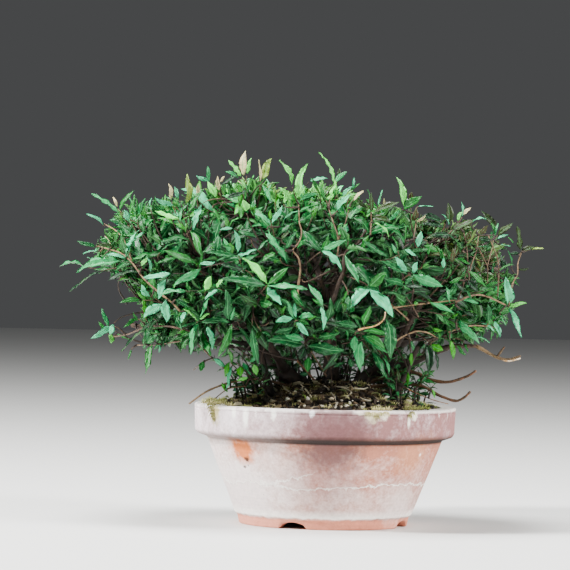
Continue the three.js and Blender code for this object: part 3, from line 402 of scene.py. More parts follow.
# Dark hollows between the front leaves: middle, radius and depth
HOLLOWS_SEEN = np.array([
    (22, -8, 17, 46), (84, -42, 15, 40), (-16, -40, 9, 30), (-31, -55, 10, 30), (-57, 16, 6, 26),
    (-27, 16, 5, 24), (-46, 0, 6, 22), (134, 2, 8, 30), (147, 4, 6, 60), (97, 24, 5, 60), (60, -30, 9, 30),
    (16, 26, 7, 26), (-24, -66, 12, 24), (12, -62, 14, 30), (104, -12, 8, 26), (-80, -28, 7, 22),
], float)
# Age, paleness and warmth of each tone of leaf
# Paleness is partly painted light: the bright tone and the palest carry painted highlights and sheen
LEAF_TONES = {
    "lime": (0.0, 0.66, 0.0), "vivid": (0.2, 0.5, 0.0), "fresh": (0.42, 0.38, 0.0),
    "grown": (0.75, 0.28, 0.0), "bright": (0.6, 0.76, 0.0), "dark": (1.0, 0.01, 0.0),
    "painted_sheen": (0.7, 0.94, 0.0), "pink": (0.0, 0.5, 1.0), "cream": (0.1, 0.3, 0.68), "olive": (0.5, 0.1, 0.46),
    "bronze": (0.5, 0.1, 0.36),
}
# Shares of a leaf's length at which it is looked at for the rules of the front
SAMPLES = np.array([0.25, 0.6, 0.95])[None, :, None]
# How far outside the outline a leaf may look to be at each of them
STANDS_OUT = np.array([0.0, -1.5, -5.0])[None, :]
# Points on a shoot's curve, the height above which shoots leave the stems, and the distance within which a
# seen stem bears a shoot's tip
SHOOT_POINTS = 24
BARE_BELOW = 112.0
BEARS_WITHIN = 11.0
# Sixths of the crown, counter-clockwise from the right as seen from above
SECTORS = ("right", "back_right", "back_left", "left", "front_left", "front_right")
# Sprays, and tips tried on the crown, as in the solids
SPRAY_COUNT, TIP_COUNT = 46, 68
# Distance between leaf scars along a stem
SCAR_SPACING = 13.0


# Helpers for shapes


def linear(code):
    """An sRGB hex colour as linear red, green, blue."""
    parts = [int(code[i : i + 2], 16) / 255 for i in (0, 2, 4)]
    return tuple(c / 12.92 if c <= 0.04045 else ((c + 0.055) / 1.055) ** 2.4 for c in parts)


def hashed(i, k):
    """The fraction of 43758.5453 sin(12.9898 i + 78.233 k): an even draw from 0 to 1, the same each time."""
    s = np.sin(np.asarray(i, float) * 12.9898 + np.asarray(k, float) * 78.233) * 43758.5453
    return s - np.floor(s)


def lattice_noise(points, cell, key=0.0):
    """Smooth noise from -1 to 1: draws at the corners of a cubic lattice, blended by s*s*(3 - 2s) on each
    axis."""
    scaled = np.asarray(points, float) / cell
    low = np.floor(scaled)
    share = scaled - low
    share = share * share * (3 - 2 * share)
    total = 0.0
    for corner in np.ndindex(2, 2, 2):
        at = low + corner
        weight = np.prod(np.where(corner, share, 1 - share), axis=-1)
        total = total + weight * hashed(at[..., 0] * 1.7 + at[..., 1] * 31.3, at[..., 2] * 7.1 + key)
    return 2 * total - 1


def unit(v):
    """Vectors divided by their length."""
    return v / np.maximum(np.linalg.norm(v, axis=-1, keepdims=True), 1e-9)


def turned(v, axis, angle):
    """Vectors v turned about unit axes by angles: v cos + (axis x v) sin + axis (axis.v)(1 - cos)."""
    c, s = np.cos(angle)[..., None], np.sin(angle)[..., None]
    return v * c + np.cross(axis, v) * s + axis * np.sum(axis * v, axis=-1, keepdims=True) * (1 - c)


def smooth(x, low, high):
    """0 below low, 1 above high, and s*s*(3 - 2s) between them."""
    s = np.clip((np.asarray(x, float) - low) / (high - low), 0, 1)
    return s * s * (3 - 2 * s)


def circle(count):
    """The angles of even steps round a circle."""
    return 2 * math.pi * np.arange(count) / count


def polar(radius, angle):
    """x and y of polar places."""
    return radius * np.cos(angle), radius * np.sin(angle)


def disc(count, radius):
    """Radii and angles of points spread evenly over a disc, a golden angle apart."""
    i = np.arange(count)
    return radius * np.sqrt((i + 0.5) / count), i * GOLDEN_ANGLE


def tones(red, green=0.0, blue=0.0, alpha=1.0):
    """Values of the tone attribute. red is an array, and the others are arrays like it or numbers."""
    return np.stack([0 * red + channel for channel in (red, green, blue, alpha)], -1)


def skin(rings, starts, ends):
    """Closed skins over rows of rings: quads from ring to ring and triangles to a pole at each end.

    rings is shapes by rings by points by 3, each ring counter-clockwise about the way from start to end.
    A shape's vertices come as start pole, rings, end pole."""
    shapes, count, around = rings.shape[:3]
    vertices = np.concatenate([starts[:, None], rings.reshape(shapes, -1, 3), ends[:, None]], axis=1)
    k, j = np.meshgrid(np.arange(count - 1), np.arange(around), indexing="ij")
    here, ahead = k * around + j, k * around + (j + 1) % around
    quads = np.stack([here, ahead, ahead + around, here + around], -1)
    first, second = np.arange(around), (np.arange(around) + 1) % around
    last = (count - 1) * around
    near = np.stack([np.full(around, -1), second, first], -1)
    far = np.stack([np.full(around, count * around), last + first, last + second], -1)
    step = (np.arange(shapes) * vertices.shape[1])[:, None, None] + 1
    tris = np.concatenate([near, far])
    return (
        vertices.reshape(-1, 3),
        (quads.reshape(-1, 4)[None] + step).reshape(-1, 4),
        (tris[None] + step).reshape(-1, 3),
    )


def tubes(paths, radii, sides):
    """Round tubes along paths: each ring is centre + r (n cos a + b sin a), with n and b square to the path.

    paths is tubes by points by 3, and radii tubes by points. Their ends close to a low point."""
    tangents = unit(np.gradient(paths, axis=1))
    chord = unit(paths[:, -1] - paths[:, 0])
    reference = np.where(np.abs(chord[:, 2:]) < 0.8, UP, np.array([1.0, 0.0, 0.0]))[:, None]
    normals = unit(reference - tangents * np.sum(reference * tangents, axis=-1, keepdims=True))
    binormals = np.cross(tangents, normals)
    right, up = (share[:, None] for share in polar(1.0, circle(sides)))
    ring = right * normals[:, :, None] + up * binormals[:, :, None]
    rings = paths[:, :, None] + radii[:, :, None, None] * ring
    starts = paths[:, 0] - tangents[:, 0] * radii[:, :1] * 0.5
    ends = paths[:, -1] + tangents[:, -1] * radii[:, -1:] * 0.8
    return skin(rings, starts, ends)


def ring_values(per_ring, around):
    """Values given for each ring of each shape, repeated for its points and poles, in the order of skin."""
    body = np.repeat(per_ring[:, :, None], around, axis=2).reshape(per_ring.shape[0], -1, *per_ring.shape[2:])
    return np.concatenate([per_ring[:, :1], body, per_ring[:, -1:]], axis=1).reshape(-1, *per_ring.shape[2:])


def joined(parts):
    """Several (vertices, quads, tris) as one."""
    vertices, quads, tris, offset = [], [], [], 0
    for v, q, t in parts:
        vertices.append(v)
        quads.append(q + offset)
        tris.append(t + offset)
        offset += len(v)
    return np.concatenate(vertices), np.concatenate(quads), np.concatenate(tris)


def spline(points, count):
    """count points spaced evenly along the Catmull-Rom curve through the given ones: on each span from b
    to c, half of 2b + (c - a)t + (2a - 5b + 4c - d)tt + (3b - a - 3c + d)ttt."""
    p = np.array(points, float)
    p = np.concatenate([[2 * p[0] - p[1]], p, [2 * p[-1] - p[-2]]])
    t = np.linspace(0, 1, 24, endpoint=False)[:, None]
    spans = []
    for a, b, c, d in zip(p, p[1:], p[2:], p[3:]):
        cubic = (3 * b - a - 3 * c + d) * t**3
        spans.append(0.5 * (2 * b + (c - a) * t + (2 * a - 5 * b + 4 * c - d) * t**2 + cubic))
    fine = np.concatenate([*spans, p[-2:-1]])
    return resampled(fine, count)


def resampled(fine, count):
    """count points spaced evenly by length along a fine line of points."""
    length = np.concatenate([[0], np.cumsum(np.linalg.norm(np.diff(fine, axis=0), axis=1))])
    at = np.linspace(0, length[-1], count)
    return np.stack([np.interp(at, length, fine[:, k]) for k in range(3)], axis=1)


def bezier(controls, count):
    """Points of cubic Bezier curves, evenly spaced in t: (1-t)^3 a + 3(1-t)^2 t b + 3(1-t)t^2 c + t^3 d."""
    t = np.linspace(0, 1, count)[None, :, None]
    a, b, c, d = (np.asarray(p)[:, None] for p in controls)
    return (1 - t) ** 3 * a + 3 * (1 - t) ** 2 * t * b + 3 * (1 - t) * t**2 * c + t**3 * d


def add_piece(name, shape, material, nodes=(), uv=None, tone=None, smoothed=True):
    """Makes a mesh of (vertices in mm about the pot's foot, quads, tris), smooth or flat, with its material.

    uv and tone are given by vertex. The piece rides on the root and stands for the named nodes."""
    vertices, quads, tris = shape
    mesh = bpy.data.meshes.new(name)
    corners = np.concatenate([quads.ravel(), tris.ravel()]).astype(np.int32)
    starts = np.concatenate([np.arange(len(quads)) * 4, len(quads) * 4 + np.arange(len(tris)) * 3])
    mesh.vertices.add(len(vertices))
    mesh.vertices.foreach_set("co", ((vertices + POT_FOOT) * MM).astype(np.float32).ravel())
    mesh.loops.add(len(corners))
    mesh.loops.foreach_set("vertex_index", corners)
    mesh.polygons.add(len(starts))
    mesh.polygons.foreach_set("loop_start", starts.astype(np.int32))
    mesh.update(calc_edges=True)
    if uv is not None:
        mesh.uv_layers.new(name="blade").data.foreach_set("uv", uv[corners].astype(np.float32).ravel())
    if tone is not None:
        attribute = mesh.attributes.new("tone", "FLOAT_COLOR", "POINT")
        attribute.data.foreach_set("color", tone.astype(np.float32).ravel())
    if smoothed:
        mesh.shade_smooth()
    else:
        mesh.shade_flat()
    mesh.materials.append(material)
    piece = bpy.data.objects.new(name, mesh)
    bpy.context.scene.collection.objects.link(piece)
    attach(piece, "root")
    if nodes:
        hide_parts(*nodes)
    return piece


# Helpers for materials


def add_node(tree, kind, inputs=(), stops=None, **settings):
    """Adds a node of a kind such as TexNoise or, with its operation, Math ADD. A Mix node mixes colours.

    inputs gives the values of its open inputs in their order, or maps inputs by name. A value is a number,
    a vector, a colour, an output to link, or a node, of which the first open output is linked."""
    kind, _, operation = kind.partition(" ")
    node = tree.nodes.new("ShaderNode" + kind)
    if kind == "Mix":
        node.data_type = "RGBA"
    if operation:
        node.operation = operation
    for key, value in settings.items():
        setattr(node, key, value)
    if stops:
        elements = node.color_ramp.elements
        while len(elements) < len(stops):
            elements.new(0.5)
        for element, (position, colour) in zip(elements, stops):
            element.position = position
            element.color = (*colour, 1.0)
    if isinstance(inputs, dict):
        pairs = [(node.inputs[key], value) for key, value in inputs.items()]
    else:
        pairs = list(zip([socket for socket in node.inputs if socket.enabled], inputs))
    for socket, value in pairs:
        if isinstance(value, bpy.types.Node):
            value = next(output for output in value.outputs if output.enabled)
        if isinstance(value, bpy.types.NodeSocket):
            tree.links.new(value, socket)
        elif socket.type == "RGBA":
            socket.default_value = (*value, 1.0)
        else:
            socket.default_value = value
    return node


def new_material(name):
    """An empty node material, add_node for its tree, and its Object coordinates, centred on the pot."""
    material = bpy.data.materials.new(name)
    material.use_nodes = True
    material.node_tree.nodes.clear()
    add = partial(add_node, material.node_tree)
    place = add("TexCoord").outputs["Object"]
    return material, add, add("Mapping", {"Vector": place, "Location": tuple(-POT_FOOT * MM)})


def end_material(add, inputs):
    """Adds the Principled shader with its inputs, and the material's output."""
    add("OutputMaterial", {"Surface": add("BsdfPrincipled", inputs)})


# Materials


def terracotta(props):
    """Terracotta: earthenware fired low and left unglazed, pressed in a turning mould. It gives a dry, chalky
    surface, salmon where clean, under a bloom of lime salts that the water in its wall has left."""
    material, add, place = new_material("terracotta_unglazed")
    xyz = add("SeparateXYZ", (place,))
    x, height = xyz.outputs["X"], xyz.outputs["Z"]
    # Clouds 14 mm across in the clay, and a bloom in patches 26 mm across and mottles 3 mm across
    clouds = add("TexNoise", {"Vector": place, "Scale": 1 / (14 * MM), "Detail": 6.0, "Roughness": 0.6})
    clay = add("Mix", (clouds, props.clay, props.clay_dark))
    patch = {"Vector": place, "Scale": 1 / (26 * MM), "Detail": 9.0, "Roughness": 0.62, "Distortion": 0.3}
    patches = add("TexNoise", patch)
    mottles = add("TexNoise", {"Vector": place, "Scale": 1 / (3 * MM), "Detail": 6.0, "Roughness": 0.75})
    # More bloom to the left, partly salts and partly painted light, and less on the wall just under the band
    lean = add("MapRange", (x, -0.070, 0.002, 0.60, -0.16))
    dry = add("MapRange", (height, 0.024, 0.058, 0.08, -0.24))
    leaned = add("Math ADD", (lean, dry))
    patchy = add("Math MULTIPLY_ADD", (patches, 1.5, leaned))
    mottled = add("Math MULTIPLY_ADD", (mottles, 0.9, patchy))
    bloom = add("MapRange", (mottled, 0.80, 1.62, 0.05, 0.98))
    bodied = add("Mix", (bloom, clay, props.bloom))
    # The band under the rim is mauve, under a bloom that is white on the left, partly painted light
    mauve = add("Mix", (bloom, props.band, props.band_bloom))
    band = add("MapRange", (height, 0.0600, 0.0640, 0.0, 0.85))
    banded = add("Mix", (band, bodied, mauve))
    # Clean foot, which the salts never reached
    ragged = add("TexNoise", {"Vector": place, "Scale": 1 / (5 * MM), "Detail": 5.0})
    lifted = add("Math MULTIPLY_ADD", (ragged, -0.0024, height))
    foot = add("MapRange", (lifted, 0.0062, 0.0048, 0.0, 0.9))
    footed = add("Mix", (foot, banded, props.foot))
    # A crust of lime along the ledge above the foot
    crust_low = add("MapRange", (lifted, 0.0058, 0.0066, 0.0, 1.0))
    crust_high = add("MapRange", (lifted, 0.0125, 0.0072, 0.0, 0.95))
    tide = add("Math MULTIPLY", (crust_low, crust_high))
    # The wavy tide lines round the belly
    swing = add("TexNoise", {"Vector": place, "Scale": 1 / (40 * MM), "Detail": 3.0})
    waved = add("Math MULTIPLY_ADD", (ragged, 0.0100, height))
    jagged = add("Math MULTIPLY_ADD", (mottles, 0.0045, waved))
    for middle, climb, first, last in TIDE_LINES:
        climbed = add("Math MULTIPLY_ADD", (x, climb, middle))
        level = add("Math MULTIPLY_ADD", (swing, 0.016, climbed))
        off_line = add("Math SUBTRACT", (jagged, level))
        distance = add("Math ABSOLUTE", (off_line,))
        line = add("MapRange", (distance, 0.0007, 0.0002, 0.0, 0.95))
        begun = add("MapRange", (x, first, first + 0.012, 0.0, 1.0))
        ended = add("MapRange", (x, last, last - 0.012, 0.0, 1.0))
        part = add("Math MULTIPLY", (begun, ended))
        drawn = add("Math MULTIPLY", (line, part))
        tide = add("Math MAXIMUM", (tide, drawn))
    # Drips of lime from the rim down the band: noise drawn out two and a half times as tall as wide
    stretched = add("VectorMath MULTIPLY", (place, (1.0, 1.0, 0.4)))
    drips = add("TexNoise", {"Vector": stretched, "Scale": 1 / (8 * MM), "Detail": 7.0, "Roughness": 0.7})
    fall = add("MapRange", (height, 0.064, 0.082, 0.0, 0.22))
    dripped = add("Math ADD", (drips, fall))
    drip = add("MapRange", (dripped, 0.74, 0.84, 0.0, 0.8))
    edge_low = add("MapRange", (dripped, 0.55, 0.66, 0.0, 0.75))
    edge_high = add("MapRange", (height, 0.0795, 0.0810, 0.0, 1.0))
    edge = add("Math MULTIPLY", (edge_low, edge_high))
    crusted = add("Math MAXIMUM", (drip, edge))
    limed = add("Math MAXIMUM", (tide, crusted))
    colour = add("Mix", (limed, footed, props.lime))
    for middle, radius, tall, strength, stain in STAINS:
        off = add("VectorMath SUBTRACT", (place, tuple(MM * c for c in middle)))
        shaped = add("VectorMath MULTIPLY", (off, (1.0, 1.0, 1 / tall)))
        away = add("VectorMath LENGTH", (shaped,))
        # Small stains are frayed by finer noise, and more of it, for which they are drawn larger
        noise, fray, grown = (ragged, 0.9, 0.0) if radius > SMALL_STAIN else (mottles, 2.4, 0.75)
        frayed = add("Math MULTIPLY_ADD", (noise, radius * MM * fray, away))
        rim, core = radius * MM * (1.5 + grown), radius * MM * (0.9 + grown)
        spot = add("MapRange", (frayed, rim, core, 0.0, strength))
        colour = add("Mix", (spot, colour, linear(stain)))
    # Painted shade in the groove under the band, outside the wall alone, and fainter on the left
    groove_low = add("MapRange", (height, 0.0575, 0.0590, 0.0, 1.0))
    groove_high = add("MapRange", (height, 0.0648, 0.0614, 0.0, 0.97))
    groove = add("Math MULTIPLY", (groove_low, groove_high))
    flat = add("VectorMath MULTIPLY", (place, (1.0, 1.0, 0.0)))
    from_axis = add("VectorMath LENGTH", (flat,))
    outer = add("Math GREATER_THAN", (from_axis, 0.0795))
    outside = add("Math MULTIPLY", (groove, outer))
    fainter_on_left = add("MapRange", (x, -0.085, -0.02, 0.55, 1.0))
    band_shaded = add("Math MULTIPLY", (outside, fainter_on_left))
    colour = add("Mix", (band_shaded, colour, props.band_shadow))
    # Dark specks of mould 0.6 mm across, in drifts
    specks = add("TexVoronoi", {"Vector": place, "Scale": 1 / (3.2 * MM)})
    drift = add("TexNoise", {"Vector": place, "Scale": 1 / (30 * MM), "Detail": 2.0})
    speck_size = add("MapRange", (drift, 0.60, 0.74, 0.0, 0.16))
    speck = add("Math LESS_THAN", (specks, speck_size))
    faint = add("Math MULTIPLY", (speck, 0.6))
    specked = add("Mix", (faint, colour, linear("5a4a40")))
    # The mottles also shade the clay
    shade = add("MapRange", (mottles, 0.3, 0.7, 0.85, 1.10))
    shaded = add("VectorMath SCALE", (specked, shade))
    # Fine sand of 0.7 mm, and shallow turning lines 2.4 mm apart; a crust of lime stands proud
    sand = add("TexNoise", {"Vector": place, "Scale": 1 / (0.7 * MM), "Detail": 4.0, "Roughness": 0.7})
    lines = {"Vector": place, "Scale": 0.314 / (2.4 * MM), "Distortion": 1.2, "Detail": 2.0}
    wheel = add("TexWave", lines, bands_direction="Z")
    relief = add("Math MULTIPLY_ADD", (wheel.outputs["Fac"], 0.25, sand))
    crusty = add("Math MULTIPLY_ADD", (limed, 1.2, relief))
    bump = add("Bump", {"Strength": 0.6, "Distance": 0.35 * MM, "Height": crusty})
    end_material(add, {"Base Color": shaded, "Normal": bump, "Roughness": 0.92, "Specular IOR Level": 0.25})
    return material


def potting_soil(props):
    """Potting soil: fired clay grit, bark and humus, damp and nearly black, with pale bits of pumice."""
    material, add, place = new_material("potting_soil_grit")
    own = add("Attribute", attribute_name="tone")
    draw, loose, _ = add("SeparateColor", (own,)).outputs
    # Crumbs 2 mm across
    crumbs = add("TexNoise", {"Vector": place, "Scale": 1 / (2 * MM), "Detail": 6.0, "Roughness": 0.7})
    dark = add("Mix", (crumbs, props.humus, props.bark_bits))
    # Each grain's own draw picks humus, straw-brown bark or pumice
    grain = add(
        "ValToRGB",
        (draw,),
        stops=(
            (0.0, linear("0f0c09")),
            (0.40, linear("2b2118")),
            (0.60, linear("4b3a28")),
            (0.74, linear("66523a")),
            (0.86, linear("a08c6a")),
            (0.93, linear("d8ccb0")),
            (1.0, linear("f2ecdf")),
        ),
    )
    colour = add("Mix", (loose, dark, grain))
    mottled = add("MapRange", (crumbs, 0.3, 0.7, 0.65, 1.15))
    shaded = add("VectorMath SCALE", (colour, mottled))
    bump = add("Bump", {"Strength": 0.7, "Distance": 0.5 * MM, "Height": crumbs})
    end_material(add, {"Base Color": shaded, "Normal": bump, "Roughness": 0.85, "Specular IOR Level": 0.35})
    return material


def moss_leafage(props):
    """Cushion moss, half dried: yellow-green to straw at its tips, dull and without gloss."""
    material, add, place = new_material("cushion_moss")
    own = add("Attribute", attribute_name="tone")
    # Red holds the share of the way up a spike, green how dry it is
    up, dryness, _ = add("SeparateColor", (own,)).outputs
    living = add("Mix", (up, linear("2c2f14"), props.moss))
    dried = add("Mix", (dryness, living, props.moss_dry))
    tufts = add("TexNoise", {"Vector": place, "Scale": 1 / (3 * MM), "Detail": 4.0})
    lively = add("MapRange", (tufts, 0.3, 0.7, 0.7, 1.2))
    shaded = add("VectorMath SCALE", (dried, lively))
    end_material(add, {"Base Color": shaded, "Roughness": 0.9, "Specular IOR Level": 0.2})
    return material


def jasmine_bark(props):
    """Bark of a woody vine: grey-brown and flaking on old stems, smooth and red-brown to golden on young
    ones."""
    material, add, place = new_material("jasmine_bark")
    own = add("Attribute", attribute_name="tone")
    # Flakes are 3 mm across, and shift the shade that each stem has of its own
    flake = {"Vector": place, "Scale": 1 / (3 * MM), "Detail": 8.0, "Roughness": 0.65, "Distortion": 0.6}
    flakes = add("TexNoise", flake)
    shift = add("MapRange", (flakes, 0.3, 0.7, -0.09, 0.09))
    shade = add("Math ADD", (add("SeparateColor", (own,)), shift))
    bark = add(
        "ValToRGB",
        (shade,),
        stops=(
            (0.0, linear("100b09")),
            (0.22, linear("33261d")),
            (0.36, props.bark),
            (0.50, linear("7b6344")),
            (0.64, props.young_stem),
            (0.76, linear("6c452e")),
            (0.86, props.gold_stem),
            (1.0, linear("e6d6bb")),
        ),
    )
    flecked = add("MapRange", (flakes, 0.3, 0.7, 0.75, 1.2))
    shaded = add("VectorMath SCALE", (bark, flecked))
    bump = add("Bump", {"Strength": 0.8, "Distance": 0.5 * MM, "Height": flakes})
    end_material(add, {"Base Color": shaded, "Normal": bump, "Roughness": 0.72, "Specular IOR Level": 0.35})
    return material


def jasmine_leaf(props):
    """Jasmine leaf: leathery, with a thin wax that gives soft pale glints. The rib is a little paler, the
    underside is dull and light, and the young leaves are lime, cream, pink or olive. Paleness brings in
    painted light and shade, and lays a painted sheen of pale mint on the palest leaves."""
    material, add, place = new_material("jasmine_leaf")
    own = add("Attribute", attribute_name="tone")
    age, pale, warm = add("SeparateColor", (own,)).outputs
    blade = add("UVMap", uv_map="blade")
    along, across, _ = add("SeparateXYZ", (blade,)).outputs
    middle = add("Math SUBTRACT", (across, 0.5))
    beside = add("Math ABSOLUTE", (middle,))
    green = add(
        "ValToRGB",
        (age,),
        stops=(
            (0.0, props.lime_leaf),
            (0.2, props.vivid_leaf),
            (0.42, props.fresh_leaf),
            (0.7, props.leaf),
            (1.0, props.old_leaf),
        ),
    )
    # Paleness, partly painted light and shade, darkens or lights a leaf, and at its top lays a painted sheen
    # over it
    lit = add("MapRange", (pale, 0.0, 0.75, 0.14, 1.22))
    leafy = add("VectorMath SCALE", (green, lit))
    painted_sheen_share = add("MapRange", (pale, 0.70, 1.0, 0.0, 0.62))
    painted_sheen = add("Mix", (painted_sheen_share, leafy, props.wax))
    # Warmth turns a leaf olive, bronze, lime, cream or pink
    warmth = add(
        "ValToRGB",
        (warm,),
        stops=(
            (0.24, props.olive_leaf),
            (0.36, linear("3c270f")),
            (0.48, props.olive_leaf),
            (0.70, linear("859a3c")),
            (0.82, linear("c2b682")),
            (1.0, props.pink_leaf),
        ),
    )
    warmed = add("MapRange", (warm, 0.0, 0.4, 0.0, 0.85))
    warm_leaf = add("Mix", (warmed, painted_sheen, warmth))
    # Blotches 4 mm across
    blotches = add("TexNoise", {"Vector": place, "Scale": 1 / (4 * MM), "Detail": 5.0})
    blotched = add("MapRange", (blotches, 0.3, 0.7, 0.72, 1.28))
    shaded = add("VectorMath SCALE", (warm_leaf, blotched))
    # Side veins: lines that climb from the rib at a slant, ten a side. They show less on dark leaves.
    slanted = add("Math MULTIPLY", (beside, -3.6))
    ladder = add("Math MULTIPLY_ADD", (along, 10.0, slanted))
    wave = add("Math PINGPONG", (ladder, 1.0))
    side_vein = add("MapRange", (wave, 0.22, 0.02, 0.0, 0.20))
    rib = add("MapRange", (beside, 0.050, 0.018, 0.0, 0.70))
    drawn = add("Math MAXIMUM", (rib, side_vein))
    shows = add("MapRange", (pale, 0.0, 0.5, 0.35, 1.0))
    veins = add("Math MULTIPLY", (drawn, shows))
    veined = add("Mix", (veins, shaded, props.vein))
    below = add("MapRange", (own.outputs["Alpha"], 0.55, 0.8, 0.0, 0.45))
    colour = add("Mix", (below, veined, props.underside))
    # Quilting between the veins, and a skin of 1.2 mm grain that breaks up the glints
    grain = add("TexNoise", {"Vector": place, "Scale": 1 / (1.2 * MM), "Detail": 3.0})
    quilt = add("Math MULTIPLY_ADD", (veins, -2.0, grain))
    bump = add("Bump", {"Strength": 0.6, "Distance": 0.35 * MM, "Height": quilt})
    # Pale leaves have more wax, and so more gloss
    wax = add("MapRange", (blotches, 0.3, 0.7, 0.34, 0.56))
    worn = add("Math MULTIPLY_ADD", (pale, -0.16, wax))
    surface = {"Base Color": colour, "Roughness": worn, "Normal": bump, "IOR": 1.45}
    end_material(add, {**surface, "Specular IOR Level": 0.26})
    return material


def mesh_plastic():
    """Polyethylene net: moulded soft plastic, dull black, dusted with soil."""
    material, add, place = new_material("polyethylene_net")
    dust = add("TexNoise", {"Vector": place, "Scale": 1 / (4 * MM), "Detail": 4.0})
    colour = add("ValToRGB", (dust,), stops=((0.4, linear("1f2422")), (0.75, linear("4a4036"))))
    bump = add("Bump", {"Strength": 0.3, "Distance": 0.2 * MM, "Height": dust})
    end_material(add, {"Base Color": colour, "Normal": bump, "Roughness": 0.6})
    return material


def floor_paint(props):
    """Matt floor paint: rolled on, pale and even, with a faint orange-peel grain 4 mm across."""
    material, add, place = new_material("matt_floor_paint")
    peel = add("TexNoise", {"Vector": place, "Scale": 1 / (4 * MM), "Detail": 2.0})
    bump = add("Bump", {"Strength": 0.08, "Distance": 0.3 * MM, "Height": peel})
    end_material(add, {"Base Color": props.floor, "Normal": bump, "Roughness": 0.6})
    return material


# The pot


def rounded_profile(corners, step):
    """A closed profile with corners rounded by quadratic curves and its straights cut to the given step."""
    points = []
    count = len(corners)
    for i, (r, z, fillet) in enumerate(corners):
        corner = np.array([r, z])
        before = np.array(corners[i - 1][:2]) - corner
        after = np.array(corners[(i + 1) % count][:2]) - corner
        reach = min(fillet, 0.45 * np.linalg.norm(before), 0.45 * np.linalg.norm(after))
        a = corner + before / np.linalg.norm(before) * reach
        b = corner + after / np.linalg.norm(after) * reach
        t = np.linspace(0, 1, 4)[:, None]
        points.append((1 - t) ** 2 * a + 2 * (1 - t) * t * corner + t**2 * b)
    profile = []
    for i, arc in enumerate(points):
        following = points[(i + 1) % count][0]
        gap = np.linalg.norm(following - arc[-1])
        steps = max(1, int(gap / step))
        run = arc[-1] + (following - arc[-1]) * np.linspace(0, 1, steps, endpoint=False)[:, None]
        profile += [arc[:-1], run]
    return np.concatenate(profile)


def pot_shape(sides):
    """The rounded profile turned about the axis: (r cos a, r sin a, z). The wall swells by 0.25 mm of
    noise in 22 mm waves and 0.1 mm in 6 mm ones, and under each notch the foot is lifted to the arch
    height * sqrt(1 - (s / half width)^2), s being the distance from the notch's own axis."""
    profile = rounded_profile(POT_PROFILE, 2.2)
    azimuth = circle(sides)
    r = profile[:, 0][:, None] * np.ones(sides)
    z = profile[:, 1][:, None] * np.ones(sides)
    even = np.stack([*polar(r, azimuth), z], -1)
    swell = 0.25 * lattice_noise(even, 22.0) + 0.10 * lattice_noise(even, 6.0, 3)
    free = (profile[:, 1] > 6) & (profile[:, 1] < 81.5)
    r = r + swell * free[:, None]
    for i in range(NOTCHES["count"]):
        turn = azimuth - math.radians(NOTCHES["first"] - 90 + i * 360 / NOTCHES["count"])
        aside = r * np.sin(turn)
        share = np.clip(1 - (aside / NOTCHES["half_width"]) ** 2, 0, 1)
        arch = NOTCHES["height"] * np.sqrt(share) * (np.cos(turn) > 0) * (r > 48) * (r < 62)
        z = np.maximum(z, arch)
    grid = np.stack([*polar(r, azimuth), z], -1)
    rings = len(profile)
    k, a = np.meshgrid(np.arange(rings), np.arange(sides), indexing="ij")
    kn, an = (k + 1) % rings, (a + 1) % sides
    quads = np.stack([k * sides + a, k * sides + an, kn * sides + an, kn * sides + a], -1).reshape(-1, 4)
    return grid.reshape(-1, 3), quads, np.zeros((0, 3), int)


# Soil, moss and litter


def soil_height(r):
    """The mound: between a straight and a smooth fall from its top to its edge at the pot's wall."""
    share = np.clip((r - SOIL["mound_radius"]) / (SOIL["rim"] - SOIL["mound_radius"]), 0, 1)
    fall = (share + share * share * (3 - 2 * share)) / 2
    return SOIL["mound"] + (SOIL["edge"] - SOIL["mound"]) * fall


def soil_top(x, y):
    """Height of the soil with its lumps: noise of 1.2 mm in 9 mm lumps and 0.8 mm in 3 mm ones."""
    flat = np.stack([x, y, np.zeros_like(x)], -1)
    lumps = 1.2 * lattice_noise(flat, 9.0, 5) + 0.8 * lattice_noise(flat, 3.0, 8)
    return soil_height(np.hypot(x, y)) + lumps


def on_soil(seen, lift=0.0):
    """The first points of the soil from the front that look to be at the seen places: y is stepped back
    from the rim until the line of sight is no higher than the soil, or else is nearest to it."""
    y = np.linspace(-SOIL["strewn"], 20, 192)
    seen = np.asarray(seen, float)
    scale = (EYE_DISTANCE + y) / EYE_DISTANCE
    x = EYE[0] + seen[:, 0:1] * scale
    z = EYE[1] + seen[:, 1:2] * scale
    gap = np.where(np.hypot(x, y) < SOIL["strewn"], z - soil_top(x, y + 0 * x) - 0.3, 99)
    hit = np.where((gap <= 0).any(axis=1), np.argmax(gap <= 0, axis=1), np.argmin(gap, axis=1))
    rows = np.arange(len(seen))
    points = np.stack([x[rows, hit], y[hit], np.zeros(len(seen))], -1)
    points = points * np.minimum(1, (SOIL["strewn"] - 2) / np.linalg.norm(points, axis=1))[:, None]
    points[:, 2] = soil_top(points[:, 0], points[:, 1]) + lift
    return points


def soil_shape():
    """A closed body of revolution: base, wall along the pot's inside, and the lumpy top."""
    wall = [(20, 12.4), (52.4, 12.4), (72.4, 58.8), (76.0, 74.0)]
    top_r = np.linspace(SOIL["radius"], 1.5, 64)
    r = np.concatenate([[w[0] for w in wall], top_r])
    z = np.concatenate([[w[1] for w in wall], np.full(len(top_r), np.nan)])
    x, y = polar(r[:, None], circle(220))
    height = np.where(np.isnan(z)[:, None], soil_top(x, y) - 1.0, z[:, None])
    rings = np.stack([x, y, height], -1)[None]
    return skin(rings, np.array([[0, 0, wall[0][1]]]), np.array([[0, 0, soil_height(0.0)]]))


